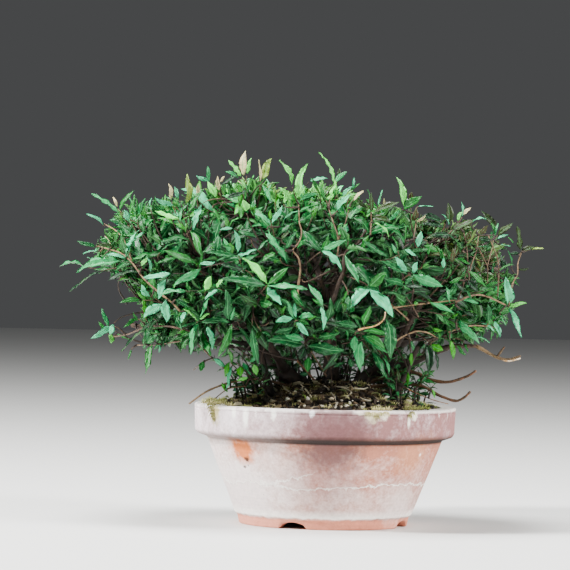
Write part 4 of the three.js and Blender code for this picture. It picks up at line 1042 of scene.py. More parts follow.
def grains(count):
    """Lumps of grit: icosahedra with each corner drawn in or out, squashed, and strewn over the soil, the
    seen ones of pumice last."""
    golden = (1 + math.sqrt(5)) / 2
    corners = np.array(
        [(-1, golden, 0), (1, golden, 0), (-1, -golden, 0), (1, -golden, 0), (0, -1, golden),
         (0, 1, golden), (0, -1, -golden), (0, 1, -golden), (golden, 0, -1), (golden, 0, 1),
         (-golden, 0, -1), (-golden, 0, 1)],
        float,
    ) / math.hypot(1, golden)
    faces = np.array(
        [(0, 11, 5), (0, 5, 1), (0, 1, 7), (0, 7, 10), (0, 10, 11), (1, 5, 9), (5, 11, 4), (11, 10, 2),
         (10, 7, 6), (7, 1, 8), (3, 9, 4), (3, 4, 2), (3, 2, 6), (3, 6, 8), (3, 8, 9), (4, 9, 5), (2, 4, 11),
         (6, 2, 10), (8, 6, 7), (9, 8, 1)]
    )
    i = np.arange(count)
    r, azimuth = disc(count, SOIL["radius"])
    size = 0.8 + 2.4 * hashed(i, 41) ** 2.4
    x, y = polar(np.minimum(r, SOIL["radius"] - 0.4 - size), azimuth + hashed(i, 40))
    centre = np.stack([x, y, soil_top(x, y) - 1.0 + 0.5 * size], -1)
    pale = hashed(i, 47) ** 1.4
    pumice = on_soil(PUMICE_SEEN[:, :2], 0.9)
    centre, size = np.concatenate([centre, pumice]), np.concatenate([size, PUMICE_SEEN[:, 2]])
    pale = np.concatenate([pale, 0.90 + 0.09 * hashed(np.arange(len(pumice)), 48)])
    count += len(pumice)
    i = np.arange(count)
    stretch = np.stack([0.8 + 0.5 * hashed(i, 42), 0.8 + 0.5 * hashed(i, 43), 0.6 + 0.3 * hashed(i, 44)], -1)
    jitter = 0.40 + 0.95 * hashed(i[:, None] * 13 + np.arange(12), 45)
    shape = corners[None] * jitter[..., None] * stretch[:, None] * size[:, None, None]
    axis = np.broadcast_to(UP, shape.shape)
    shape = turned(shape, axis, np.repeat(2 * math.pi * hashed(i, 46)[:, None], 12, axis=1))
    vertices = (centre[:, None] + shape).reshape(-1, 3)
    tris = (faces[None] + (i * 12)[:, None, None]).reshape(-1, 3)
    return (vertices, np.zeros((0, 4), int), tris), np.repeat(tones(pale, 1.0), 12, axis=0)


def straws(paths, thick, own):
    """Straws along the paths, of the given radii and tones, with ends half as thick."""
    count = paths.shape[1]
    share = np.linspace(0, 1, count)
    radii = thick[:, None] * (1 - 0.5 * np.abs(2 * share - 1) ** 3)
    return tubes(paths, radii, 6), ring_values(np.repeat(tones(own, 1.0)[:, None], count, axis=1), 6)


def moss_spikes(places, key, length, spread, lay):
    """Spikes of moss about each place: three-sided, leaning out from the middle of their tuft, and closed
    below.

    places is tufts by (x, y, z, radius, dryness); lay tilts every spike by that vector."""
    parts, colours = [], []
    right, up = (share[:, None] for share in polar(0.42, circle(3)))
    for tuft, (x, y, z, radius, dry) in enumerate(places):
        count = int(26 * (radius / 4) ** 1.4) + 8
        i = np.arange(count)
        r, angle = disc(count, radius)
        off = np.stack([*polar(r, angle + tuft), np.zeros(count)], -1)
        base = np.array([x, y, z]) + off
        base[:, 2] += 0.3 * radius * (1 - (r / radius) ** 2)
        draw = hashed(i + tuft * 101, key)
        stray = np.stack([draw, hashed(i, key + 1), draw], -1) - 0.5
        way = unit(off * spread / radius + UP + lay + 0.5 * stray)
        tall = length * (0.6 + 0.8 * hashed(i + tuft * 57, key + 2))
        side = unit(np.cross(way, np.array([0.3, 1.0, 0.2])))
        foot = base[:, None] + right * side[:, None] + up * np.cross(way, side)[:, None]
        parts.append(skin(foot[:, None], base - way * 0.3, base + way * tall[:, None]))
        own = tones(0 * draw, dry * (0.5 + 0.5 * draw), draw)
        tip = own + np.array([1.0, 0.0, 0.0, 0.0])
        colours.append(np.stack([own, own, own, own, tip], 1).reshape(-1, 4))
    return joined(parts), np.concatenate(colours)


# Stems


def stem_tubes(paths, radii, shades, sides, spacing, knots=0.16):
    """Stems as knotty tubes: the radius goes evenly from end to end, swells at the leaf scars, and takes
    noise of a tenth of itself. Each tube wanders by up to half its radius."""
    parts, colours = [], []
    for order, (points, ends, shade) in enumerate(zip(paths, radii, shades)):
        length = np.linalg.norm(np.diff(points, axis=0), axis=1).sum()
        count = max(6, int(length / spacing))
        path = spline(points, count)
        share = np.linspace(0, 1, count)
        radius = ends[0] + (ends[1] - ends[0]) * share
        scars = np.exp(-(((share * length / SCAR_SPACING + hashed(order, 60)) % 1.0 - 0.5) / 0.13) ** 2)
        wobble = lattice_noise(path + order * 11, 7.0, 2)
        wander = [lattice_noise(path, 9.0, 11 + order), lattice_noise(path, 9.0, 31 + order), 0 * share]
        reach = np.minimum(radius, 2.4) * 0.5 * np.sin(math.pi * share)
        path = path + np.stack(wander, -1) * reach[:, None]
        radius = radius * (0.92 + knots * scars + 0.10 * wobble)
        shape, quads, tris = tubes(path[None], radius[None], sides)
        away = lattice_noise(shape, 3.2, 6)[:, None] * 0.10 + lattice_noise(shape, 1.4, 9)[:, None] * 0.04
        centre = np.concatenate([path[:1], np.repeat(path, sides, axis=0), path[-1:]])
        parts.append((shape + (shape - centre) * away, quads, tris))
        own = (shade[0] + (shade[1] - shade[0]) * share)[None]
        colours.append(ring_values(tones(own, hashed(order, 61)), sides))
    return joined(parts), np.concatenate(colours)


def root_crown():
    """The flared foot of the stems: a cone from radius 15 to 7 with six lobes that fade upwards."""
    share = np.linspace(0, 1, 24)[:, None]
    angle = circle(48)
    radius = 15.0 - 8.0 * share**0.7 + (1 - share) * 2.2 * np.sin(6 * angle + 1.0)
    z = 82 + 14 * share + 0 * angle
    rings = np.stack([2 + radius * np.cos(angle), 1 + radius * np.sin(angle), z], -1)
    rings[..., :2] += 0.9 * lattice_noise(rings, 5.0, 4)[..., None]
    shape = skin(rings[None], np.array([[2.0, 1.0, 80.0]]), np.array([[2.0, 1.0, 98.0]]))
    # Near black: partly old bark, partly painted shade of the crown over it
    tone = np.tile([0.03, 0.3, 0.0, 1.0], (len(shape[0]), 1))
    return shape, tone


# Shoots and leaves


def crown_points(directions, scale):
    """Where unit directions from the crown's centre meet its surface: the superellipsoid
    (|x|^p + |y|^p)^(q/p) + |z|^q = 1, in units of its reach, whose top leans by LEAN xz / height."""
    rising = directions[:, 2] > 0
    across = np.abs(directions[:, :2]) / REACH[:2]
    height = np.abs(directions[:, 2]) / np.where(rising, REACH[2], REACH_DOWN)
    plan = (across[:, 0] ** PLAN_POWER + across[:, 1] ** PLAN_POWER) ** (1 / PLAN_POWER)
    power = np.where(rising, RISING_POWER, FALLING_POWER)
    radius = scale / (plan**power + height**power) ** (1 / power)
    offset = directions * radius[:, None]
    offset[:, 2] += np.where(rising, LEAN * offset[:, 0] * offset[:, 2] / REACH[2], 0)
    return offset + CENTRE


def spiral_directions(count, lowest=-0.6):
    """Directions spread evenly over the crown on a golden-angle spiral from its top down."""
    i = np.arange(count)
    height = 1 - (i + 0.5) / count * (1 - lowest)
    across = np.sqrt(1 - height**2)
    rise = np.where(height > 0, REACH[2], REACH_DOWN)
    x, y = polar(across, i * GOLDEN_ANGLE)
    return unit(np.stack([x * REACH[0], y * REACH[1], height * rise], -1))


def outward(points):
    """Directions from the crown's centre, with the crown's reach taken as one all round."""
    return unit((points - CENTRE) / reach_at(points))


def reach_at(points):
    """The crown's reach along each axis, which is less below its centre than above."""
    return np.where(points[..., 2:] > CENTRE[2], REACH, [REACH[0], REACH[1], REACH_DOWN])


def front_of_crown(x, z):
    """The crown's front, y at x and z: where its superellipsoid meets that line, and its middle beyond its
    outline. Under the crown, over the pot, it is no farther back than the middle of the soil's front half."""
    rising = z > CENTRE[2]
    power = np.where(rising, RISING_POWER, FALLING_POWER)
    height = np.clip(np.abs(z - CENTRE[2]) / np.where(rising, REACH[2], REACH_DOWN), 0, 1)
    across = np.abs(x - CENTRE[0]) / REACH[0]
    deep = np.clip((1 - height**power) ** (PLAN_POWER / power) - across**PLAN_POWER, 0, 1) ** (1 / PLAN_POWER)
    y = CENTRE[1] - REACH[1] * deep
    return np.where((z < BARE_BELOW) & (np.abs(x) < 85), np.minimum(y, -42.0), y)


def placed(seen, inset):
    """Points behind the crown's front by the inset that look to be at the seen places. A point at depth y
    looks EYE_DISTANCE / (EYE_DISTANCE + y) times as far from EYE as it is, and six rounds settle its
    depth."""
    y = np.full(len(seen), -60.0)
    for _ in range(6):
        scale = (EYE_DISTANCE + y) / EYE_DISTANCE
        x, z = EYE[0] + seen[:, 0] * scale, EYE[1] + seen[:, 1] * scale
        y = front_of_crown(x, z) + inset
    return np.stack([x, y, z], -1)


def seen_from_front(points):
    """Where points look to be, in the measure of the *_SEEN tables."""
    scale = EYE_DISTANCE / (EYE_DISTANCE + points[..., 1])
    return np.stack([(points[..., 0] - EYE[0]) * scale, (points[..., 2] - EYE[1]) * scale], -1)


def room_in_outline(points):
    """How far inside the outline of the mass of leaves points look to be, up or down; below zero outside
    it."""
    seen = seen_from_front(points)
    top = np.interp(seen[..., 0], OUTLINE_TOP[:, 0], OUTLINE_TOP[:, 1], left=-999, right=-999)
    bottom = np.interp(seen[..., 0], OUTLINE_BOTTOM[:, 0], OUTLINE_BOTTOM[:, 1], left=999, right=999)
    return np.minimum(top - seen[..., 1], seen[..., 1] - bottom)


def pulled_in(tips, room):
    """Tips moved towards the crown's centre, a twentieth of the way at a time, until they look to be in the
    outline."""
    for _ in range(9):
        outside = room_in_outline(tips) < room
        tips = np.where(outside[:, None], tips + 0.05 * (CENTRE - tips), tips)
    return tips


def trimmed(curves, room):
    """Shoots cut short at the last of their points that looks to be inside the outline, and at a third at
    least. Returns them and which of them keep six tenths of their points."""
    count = curves.shape[1]
    inside = room_in_outline(curves) > room
    last = count - 1 - np.argmax(inside[:, ::-1], axis=1)
    last = np.where(inside.any(axis=1), np.maximum(last, count // 3), count - 1)
    at = last[:, None] * np.linspace(0, 1, count)
    low = np.minimum(at.astype(int), count - 2)
    rows = np.arange(len(curves))[:, None]
    share = (at - low)[..., None]
    return curves[rows, low] * (1 - share) + curves[rows, low + 1] * share, last >= 0.6 * count


def undergrowth(count):
    """Low shoots that come up through the soil round the root crown, a golden angle apart, and lean out under
    the crown. They are taller at the back, and leave the front of the soil free."""
    i = np.arange(count)
    angle = i * GOLDEN_ANGLE
    radius = 14 + 54 * np.sqrt((i + 0.5) / count) * (0.7 + 0.3 * hashed(i, 401))
    x, y = polar(radius, angle)
    x = x + 2
    free = (y > -6) | ((np.abs(x - 2) > 40) & (y > -40))
    i, angle, x, y = i[free], angle[free], x[free], y[free]
    foot = np.stack([x, y, soil_top(x, y) - 1], -1)
    away = np.stack([np.cos(angle), np.sin(angle), 0 * angle], -1)
    stray = np.stack([hashed(i, 402), hashed(i, 403), 0.5 + 0 * angle], -1) - 0.5
    rise = 10 + 22 * hashed(i, 404) + 16 * smooth(y, 5, 40)
    second = foot + rise[:, None] * (0.45 * UP + 0.25 * stray)
    tip = foot + rise[:, None] * (UP + 0.45 * away + 0.9 * stray)
    return bezier((foot, second, second + 0.4 * (tip - foot), tip), SHOOT_POINTS)


def posed_leaves():
    """The leaves measured on the front. Each foot lies just under the crown's front, and the tip comes
    forward or goes back by a drawn share of the length. A leaf that shows less width than a leaf of its
    length has is turned about its own line: its face is o v + sqrt(1 - oo) u, with v towards the viewer, u
    square to it and upwards, and o the share of its width that shows."""
    rows = np.array([row for group in LEAVES_SEEN.values() for row in group], float)
    kinds = np.array([LEAF_TONES[name] for name, group in LEAVES_SEEN.items() for _ in group])
    number = 50000.0 + 7 * np.arange(len(rows))
    foot = placed(rows[:, :2], 5.0)
    seen_length = np.hypot(rows[:, 2] - rows[:, 0], rows[:, 3] - rows[:, 1])
    y = foot[:, 1] - seen_length * (-0.15 + 0.6 * hashed(number, 3))
    scale = (EYE_DISTANCE + y) / EYE_DISTANCE
    tip = np.stack([EYE[0] + rows[:, 2] * scale, y, EYE[1] + rows[:, 3] * scale], -1)
    length = np.linalg.norm(tip - foot, axis=1)
    direction = (tip - foot) / length[:, None]
    real = np.maximum(0.9 * rows[:, 4], 0.22 * length)
    share = np.clip(0.9 * rows[:, 4] / real, 0.12, 0.97)[:, None]
    viewer = np.array([0.0, -1.0, 0.0])
    towards = unit(viewer - direction * (direction @ viewer)[:, None])
    above = np.cross(direction, towards)
    above = above * np.where(above[:, 2:] < 0, -1, 1)
    return {
        "base": foot,
        "direction": direction,
        "face": share * towards + np.sqrt(1 - share**2) * above,
        "length": length,
        "wide": real / length,
        "age": kinds[:, 0],
        "pale": kinds[:, 1],
        "warm": kinds[:, 2],
        "number": number,
    }


def nodes_of(leaves, reach):
    """The nodes that leaves spring from: a foot within reach of an earlier node belongs to it. Returns the
    nodes and the ways their shoots point, between outwards and the middle of their leaves."""
    nodes, sums = [], []
    for foot, direction in zip(leaves["base"], leaves["direction"]):
        near = [i for i, node in enumerate(nodes) if np.linalg.norm(node - foot) < reach]
        if near:
            sums[near[0]] = sums[near[0]] + direction
        else:
            nodes.append(foot)
            sums.append(direction)
    nodes = np.array(nodes)
    return nodes, unit(np.array(sums) + 0.7 * outward(nodes))


def cleared(leaves, posed):
    """The leaves without those that would spoil the front: any that look to stand out of the outline, cover a
    posed leaf, or fill a dark hollow."""
    where = leaves["base"][:, None] + leaves["direction"][:, None] * leaves["length"][:, None, None] * SAMPLES
    seen = seen_from_front(where)
    inside = np.all(room_in_outline(where) > STANDS_OUT, axis=1) | (leaves["low"] > 0)
    foot, tip = posed["base"], posed["base"] + posed["direction"] * posed["length"][:, None]
    a, b = seen_from_front(foot), seen_from_front(tip)
    y = (foot[:, 1] + tip[:, 1]) / 2
    width = posed["wide"] * posed["length"]
    hides = np.zeros(len(seen), bool)
    for k in range(seen.shape[1]):
        point = seen[:, k, None]
        share = np.clip(np.sum((point - a) * (b - a), -1) / np.sum((b - a) ** 2, -1), 0, 1)
        gap = np.linalg.norm(point - a - share[..., None] * (b - a), axis=-1)
        hides |= np.any((gap < 0.4 * width + 1.6) & (where[:, k, 1:2] < y + 3), axis=1)
        away = np.linalg.norm(point - HOLLOWS_SEEN[:, :2], axis=-1)
        surface = front_of_crown(where[:, k, 0], where[:, k, 2])[:, None]
        hollow = (away < HOLLOWS_SEEN[:, 2]) & (where[:, k, 1:2] < surface + HOLLOWS_SEEN[:, 3])
        hides |= np.any(hollow, axis=1)
    chosen = inside & ~hides
    return {key: value[chosen] for key, value in leaves.items()}


def spiral_tips(count, scale, rough, key, spacing, taken, rise=0.35, stray=0.7):
    """Tips on a spiral over the crown, without those nearer than spacing to one already taken, and their
    ways."""
    i = np.arange(count)
    points = crown_points(spiral_directions(count), scale - rough * hashed(i, key + 1))
    drawn = np.stack([hashed(i, key + 2), hashed(i, key + 3), hashed(i, key + 4)], -1) - 0.5
    ways = unit(outward(points) + rise * UP + stray * drawn)
    kept, all_taken = [], list(taken)
    for n in range(count):
        if min(np.linalg.norm(np.array(all_taken) - points[n], axis=1), default=1e9) >= spacing:
            all_taken.append(points[n])
            kept.append(n)
    return points[kept], ways[kept]


def leader_plan():
    """The shoots of the solids: for each spray its leader's curve from the nearest stem out past the hub
    to the first tip, and the side shoots' curves from the leader to its other tips. Returns the curves and
    their tips."""
    marked_tips, marked_ways = MARKED[:, :3], unit(MARKED[:, 3:])
    tips, ways = spiral_tips(TIP_COUNT, 1.0, 0.07, 0, 12.0, marked_tips)
    tips, ways = np.concatenate([marked_tips, tips]), np.concatenate([marked_ways, ways])
    inset = 0.6 + 0.08 * hashed(np.arange(SPRAY_COUNT), 5)
    hubs = crown_points(spiral_directions(SPRAY_COUNT), inset)
    nearest = np.argmax(outward(tips) @ outward(hubs).T, axis=1)
    stems = np.concatenate([spline(points, 80)[:-3] for _, points in STEMS.values()])
    stems = stems[stems[:, 2] >= BARE_BELOW + 6]
    curves = np.zeros((len(tips), SHOOT_POINTS, 3))
    for hub_index, hub in enumerate(hubs):
        own = np.flatnonzero(nearest == hub_index)
        if not len(own):
            continue
        start = stems[np.argmin(np.linalg.norm(stems - hub, axis=1))]
        tip, way = tips[own[0]], ways[own[0]]
        reach = np.linalg.norm(start - tip)
        second = start + (hub - start) * 0.8 - 0.06 * reach * UP
        leader = bezier(([start], [second], [tip - 0.3 * reach * way], [tip]), SHOOT_POINTS)[0]
        curves[own[0]] = leader
        even = resampled(leader, 101)
        for order, side in enumerate(own[1:]):
            share = (40, 55, 30, 50)[order % 4]
            foot, tip, way = even[share], tips[side], ways[side]
            reach = np.linalg.norm(foot - tip)
            leaving = unit(even[share + 1] - even[share]) * 0.2 * reach
            second = foot + leaving + (tip - foot - leaving) * 0.25
            curves[side] = bezier(([foot], [second], [tip - 0.35 * reach * way], [tip]), SHOOT_POINTS)[0]
    return curves, tips


def grown_from(carriers, tips, ways, close=None):
    """Curves of further shoots: each leaves the point of the carriers that is nearest to where it would come
    from, or else the nearest point of the close stems, if one passes close by its tip."""
    curves = []
    for tip, way in zip(tips, ways):
        back = tip - 22 * way - 0.12 * (tip - CENTRE)
        foot = carriers[np.argmin(np.linalg.norm(carriers - back, axis=1))]
        if close is not None:
            gaps = np.linalg.norm(close - tip, axis=1)
            foot = close[np.argmin(gaps)] if gaps.min() < BEARS_WITHIN else foot
        reach = np.linalg.norm(foot - tip)
        second = foot + (tip - foot) * 0.3 - 0.04 * reach * UP
        curves.append(bezier(([foot], [second], [tip - 0.4 * reach * way], [tip]), SHOOT_POINTS)[0])
    return np.array(curves)


def shoot_nodes(curves, keys, depths):
    """Points, directions and a side vector on each curve at the given depths from its tip, shoots by
    depths, and which of them are on the curve."""
    steps = np.linalg.norm(np.diff(curves, axis=1), axis=2)
    length = np.concatenate([np.zeros((len(curves), 1)), np.cumsum(steps, axis=1)], axis=1)
    at = length[:, -1:] - np.array(depths)
    points = np.zeros((len(curves), len(depths), 3))
    ahead = np.zeros_like(points)
    for s in range(len(curves)):
        for k in range(3):
            points[s, :, k] = np.interp(at[s], length[s], curves[s, :, k])
            ahead[s, :, k] = np.interp(at[s] + 1.5, length[s], curves[s, :, k])
    last = unit(curves[:, -1] - curves[:, -2])[:, None]
    along = np.where(at[..., None] + 1.5 < length[:, -1:, None], unit(ahead - points), last)
    first = unit(curves[:, 1] - curves[:, 0])[:, None]
    reference = np.cross(UP, first)
    reference = unit(reference + np.array([1e-3, 0, 0]))
    reference = turned(reference, first, (2 * math.pi * hashed(keys, 11))[:, None])
    normal = unit(reference - along * np.sum(reference * along, axis=-1, keepdims=True))
    return points, along, normal, at > 2.0


def leaf_table(curves, keys, depths, lengths, leans, young, low=0):
    """Leaves in opposite pairs at the depths of each shoot, each pair a quarter turn from the last. The
    pairs are drawn apart in length, lean and turn, a tenth of the leaves have dropped, and all sag a
    little. Leaves are younger at the crown's top, and older and often olive on its upper right. Their
    paleness holds painted light, paler at the top left, and painted shade, darker inside the crown and,
    partly, on the upper right. low is 1 for leaves that the outline doesn't trim."""
    points, along, normal, there = shoot_nodes(curves, keys, depths)
    pairs = points.shape[1]
    pair = np.arange(pairs)[None, :, None]
    half = np.arange(2)[None, None, :]
    key = keys[:, None, None]
    number = 20 + 2 * pair + half
    length = np.array(lengths)[None, :, None] * (0.85 + 0.35 * hashed(key, 10))
    length = length * (0.72 + 0.5 * hashed(key, number))
    lean = np.radians(np.array(leans)[None, :, None] + 40 * (hashed(key, number + 30) - 0.5))
    spin = math.pi / 2 * pair + math.pi * half + 0.9 * (hashed(key, number + 50) - 0.5)
    along = np.repeat(along[:, :, None], 2, axis=2)
    outwards = turned(np.repeat(normal[:, :, None], 2, axis=2), along, spin)
    sag = (0.35 * hashed(key, number + 70) * length / 24)[..., None]
    direction = unit(along * np.cos(lean)[..., None] + outwards * np.sin(lean)[..., None] - sag * UP)
    face = along + 0.35 * UP
    face = unit(face - direction * np.sum(face * direction, axis=-1, keepdims=True))
    face = turned(face, direction, 1.3 * (hashed(key, number + 90) - 0.5))
    base = np.repeat(points[:, :, None], 2, axis=2)
    number = key * 40.0 + number
    high = smooth(base[..., 2], 200, 235)
    right = smooth(base[..., 0], 30, 90) * smooth(base[..., 2], 160, 190)
    # Painted light: paler leaves at the crown's top and upper left, on the side of the key light
    painted_top_left_light = (smooth(base[..., 2], 165, 215) + high) * (1 - smooth(base[..., 0], -20, 60))
    first = np.array(young)[None, :, None] + 0 * length
    age = np.clip(first + 0.25 * (hashed(number, 15) - 0.5) - 0.5 * high + 0.3 * right, 0, 1)
    pink = high * (first < 0.5) * (hashed(number, 16) < 0.25)
    olive = right * (hashed(number, 17) < 0.7)
    # Painted shade: leaves deeper inside the crown are darker
    offset = np.abs(base - CENTRE) / reach_at(base)
    outer = smooth((offset**2.4).sum(axis=-1) ** (1 / 2.4), 0.55, 0.98)
    pale = 0.04 + 0.74 * hashed(number, 21) ** 1.3 + 0.30 * (hashed(number, 22) < 0.16) + 0.24 * painted_top_left_light
    chosen = np.repeat(there[:, :, None], 2, axis=2) & (hashed(number, 18) > 0.10)
    table = {
        "base": base,
        "direction": direction,
        "face": face,
        "length": length,
        "wide": 0.23 + 0.12 * hashed(number, 19),
        "age": age,
        # Paleness with painted shade inside the crown, and on the upper right a darkening that is partly
        # painted shade
        "pale": pale * (0.25 + 0.75 * outer) * (1 - 0.7 * right),
        "warm": np.maximum(
            (0.62 + 0.38 * hashed(number, 23)) * pink, 0.42 * olive + 0.13 * hashed(number, 24)
        ),
        "number": number,
        "low": low + 0 * length,
    }
    return {key: value[chosen] for key, value in table.items()}


def blades(leaves, stations, across):
    """Leaf blades as closed lens-shaped skins over a grid of t along and u across, from -1 to 1.

    Half width is width/2 * s^0.72 (1 - s)^1.1 / 0.302 with s = (t - 0.07) / 0.93, on a thin stalk.
    The midline is base + L (t d + 4 t (1 - t) (arch f + sickle w) + sway sin(2 pi t) w).
    Across it the blade folds up by fold |u|, waves at its margin by sin(2 pi (turns t + phase)) |u|^1.5,
    and twists about the midline by twist sin(pi t)."""
    base, direction, face, length = (leaves[k] for k in ("base", "direction", "face", "length"))
    number = leaves["number"]
    side = np.cross(face, direction)

    def drawn(k, low, high):
        return (low + (high - low) * hashed(number, k))[:, None, None]

    t = (np.arange(1, stations + 1) / (stations + 0.6))[None, :, None]
    over = np.linspace(1, -1, across + 1)
    u = np.concatenate([over, -over[1:-1]])[None, None, :]
    upper = np.concatenate([np.ones(across + 1), -np.ones(across - 1)])[None, None, :]
    long = length[:, None, None]
    s = np.clip((t - 0.07) / 0.93, 0, 1)
    half = leaves["wide"][:, None, None] / 2 * s**0.72 * (1 - s) ** 1.1 / 0.302 * long
    half = half * (1 + 0.06 * np.sin(19 * t + 6.3 * drawn(8, 0, 1)))
    half = half + 0.35 * (1 - smooth(t, 0.05, 0.16)) + 0.06
    turns, phase = drawn(2, 1.4, 3.2), drawn(3, 0, 1)
    wave = long * drawn(4, 0.012, 0.045) * np.sin(2 * math.pi * (turns * t + phase + 0.23 * np.sign(u)))
    lift = wave * np.abs(u) ** 1.5 + drawn(5, -0.05, 0.75) * half * np.abs(u)
    crinkle = 0.018 * long * np.sin(2 * math.pi * (5.5 * t + drawn(13, 0, 1))) * (1 - u**2)
    thick = (0.14 + 0.10 * (np.abs(u) < 0.1)) * np.sqrt(np.clip(1 - u**2, 0, 1))
    thick = thick + 0.24 * (1 - smooth(t, 0.05, 0.2))
    lift = lift + crinkle + upper * np.where(np.abs(u) > 0.99, 0, thick)
    bulge = 4 * t * (1 - t) * long
    arch = bulge * drawn(6, -0.03, 0.19)
    sickle = bulge * drawn(9, -0.06, 0.06) + long * drawn(10, -0.04, 0.04) * np.sin(2 * math.pi * t)
    twist = drawn(12, -0.7, 0.7) * np.sin(math.pi * t)
    out = np.cos(twist) * u * half - np.sin(twist) * lift
    rise = np.sin(twist) * u * half + np.cos(twist) * lift
    vectors = [v[:, None, None] for v in (base, direction, side, face)]
    rings = (
        vectors[0]
        + vectors[1] * (long * t + 0 * u)[..., None]
        + vectors[2] * (out + sickle)[..., None]
        + vectors[3] * (rise + arch)[..., None]
    )
    shape = skin(rings, base - direction * 0.3, base + direction * length[:, None])
    grid = (len(length), stations, 2 * across)
    uv = np.stack([np.broadcast_to(t, grid), np.broadcast_to(u / 2 + 0.5, grid)], -1)
    uv = uv.reshape(len(length), -1, 2)
    pole = np.full((len(length), 1, 2), 0.5)
    uv = np.concatenate([pole * [0, 1], uv, pole * [2, 1]], axis=1).reshape(-1, 2)
    under = np.where(np.abs(u) > 0.99, 0.5, (1 - upper) / 2)
    under = np.broadcast_to(under, grid).reshape(len(length), -1)
    under = np.concatenate([pole[..., 0], under, pole[..., 0]], axis=1)
    own = [np.repeat(leaves[key][:, None], under.shape[1], axis=1) for key in ("age", "pale", "warm")]
    tone = np.stack([*own, under], -1).reshape(-1, 4)
    return shape, uv, tone


# Settings, shown in the sidebar


def tint(name, description, code):
    """A colour setting, with its default as an sRGB hex code."""
    return bpy.props.FloatVectorProperty(
        name=name, description=description, subtype="COLOR", size=3, default=linear(code)
    )


class PotSettings(bpy.types.PropertyGroup):
    """Colours and fineness of the pot."""

    sides: bpy.props.IntProperty(
        name="Sides", description="Steps round the pot", default=360, min=64, max=900
    )
    clay: tint("Clay", "Clean fired clay", "c47c5e")
    clay_dark: tint("Dark clay", "Clouds in the clay", "9c5a48")
    bloom: tint("Bloom", "Salts over the wall", "ecdeda")
    band: tint("Band", "Mauve clay of the rim's band", "83595a")
    band_bloom: tint("Band bloom", "Salts on the rim's band", "dccfd2")
    foot: tint("Foot", "Clean salmon foot", "dc8a6c")
    lime: tint("Lime", "Crusts and tide lines", "fffaf2")
    # Painted shade in the groove under the band
    band_shadow: tint("Band shadow", "Painted shade under the band", "1e1715")


class SoilSettings(bpy.types.PropertyGroup):
    """Colours and grains of the soil, and its moss."""

    grain_count: bpy.props.IntProperty(
        name="Grains", description="Lumps of grit", default=3200, min=0, max=6000
    )
    humus: tint("Humus", "Damp humus", "15100c")
    bark_bits: tint("Bark bits", "Crumbs of bark", "3d3020")
    moss: tint("Moss", "Living moss", "9db04a")
    moss_dry: tint("Dry moss", "Dried moss", "d3c68c")


class WoodSettings(bpy.types.PropertyGroup):
    """Colours and fineness of the stems."""

    sides: bpy.props.IntProperty(name="Sides", description="Steps round a stem", default=16, min=6, max=48)
    ring_spacing: bpy.props.FloatProperty(
        name="Ring spacing", description="Millimetres between a stem's rings", default=2.0, min=0.5, max=8
    )
    bark: tint("Bark", "Old bark", "54402f")
    young_stem: tint("Young stem", "Red-brown shoots", "40301d")
    gold_stem: tint("Golden stem", "Bare golden shoots", "b98c50")


class LeafSettings(bpy.types.PropertyGroup):
    """Colours and numbers of the leaves."""

    outer_shoots: bpy.props.IntProperty(
        name="Outer shoots", description="Places tried for shoots on the crown", default=380, min=0, max=600
    )
    inner_shoots: bpy.props.IntProperty(
        name="Inner shoots", description="Places tried for shoots inside it", default=190, min=0, max=400
    )
    low_shoots: bpy.props.IntProperty(
        name="Low shoots", description="Places tried for shoots from the soil", default=154, min=0, max=400
    )
    leaf: tint("Leaf", "Grown leaf", "0c642e")
    old_leaf: tint("Old leaf", "Old leaf, bluish", "0b5026")
    fresh_leaf: tint("Fresh leaf", "Leaf of this season", "156c20")
    vivid_leaf: tint("Vivid leaf", "Low shoots in the shade", "359410")
    lime_leaf: tint("Lime leaf", "Unfolding leaf", "5ec250")
    # Painted sheen: pale mint laid over the palest leaves
    wax: tint("Wax", "Bloom on the palest leaves", "50cf9b")
    olive_leaf: tint("Olive leaf", "Sunned leaf", "1c2b07")
    pink_leaf: tint("Pink leaf", "Pink and cream young leaf", "cdb28a")
    vein: tint("Vein", "Rib and side veins", "5fb873")
    underside: tint("Underside", "Dull lower face", "5b9858")


class StageSettings(bpy.types.PropertyGroup):
    """Floor, light and camera."""

    floor: tint("Floor", "Pale matt floor", "d9d9d6")
    key_power: bpy.props.FloatProperty(
        name="Light", description="Power that each light takes a share of", default=118.0, min=0, unit="POWER"
    )
    distance: bpy.props.FloatProperty(
        name="Camera distance", description="From the pot's axis", default=2.25, min=0.5, unit="LENGTH"
    )


# Pieces


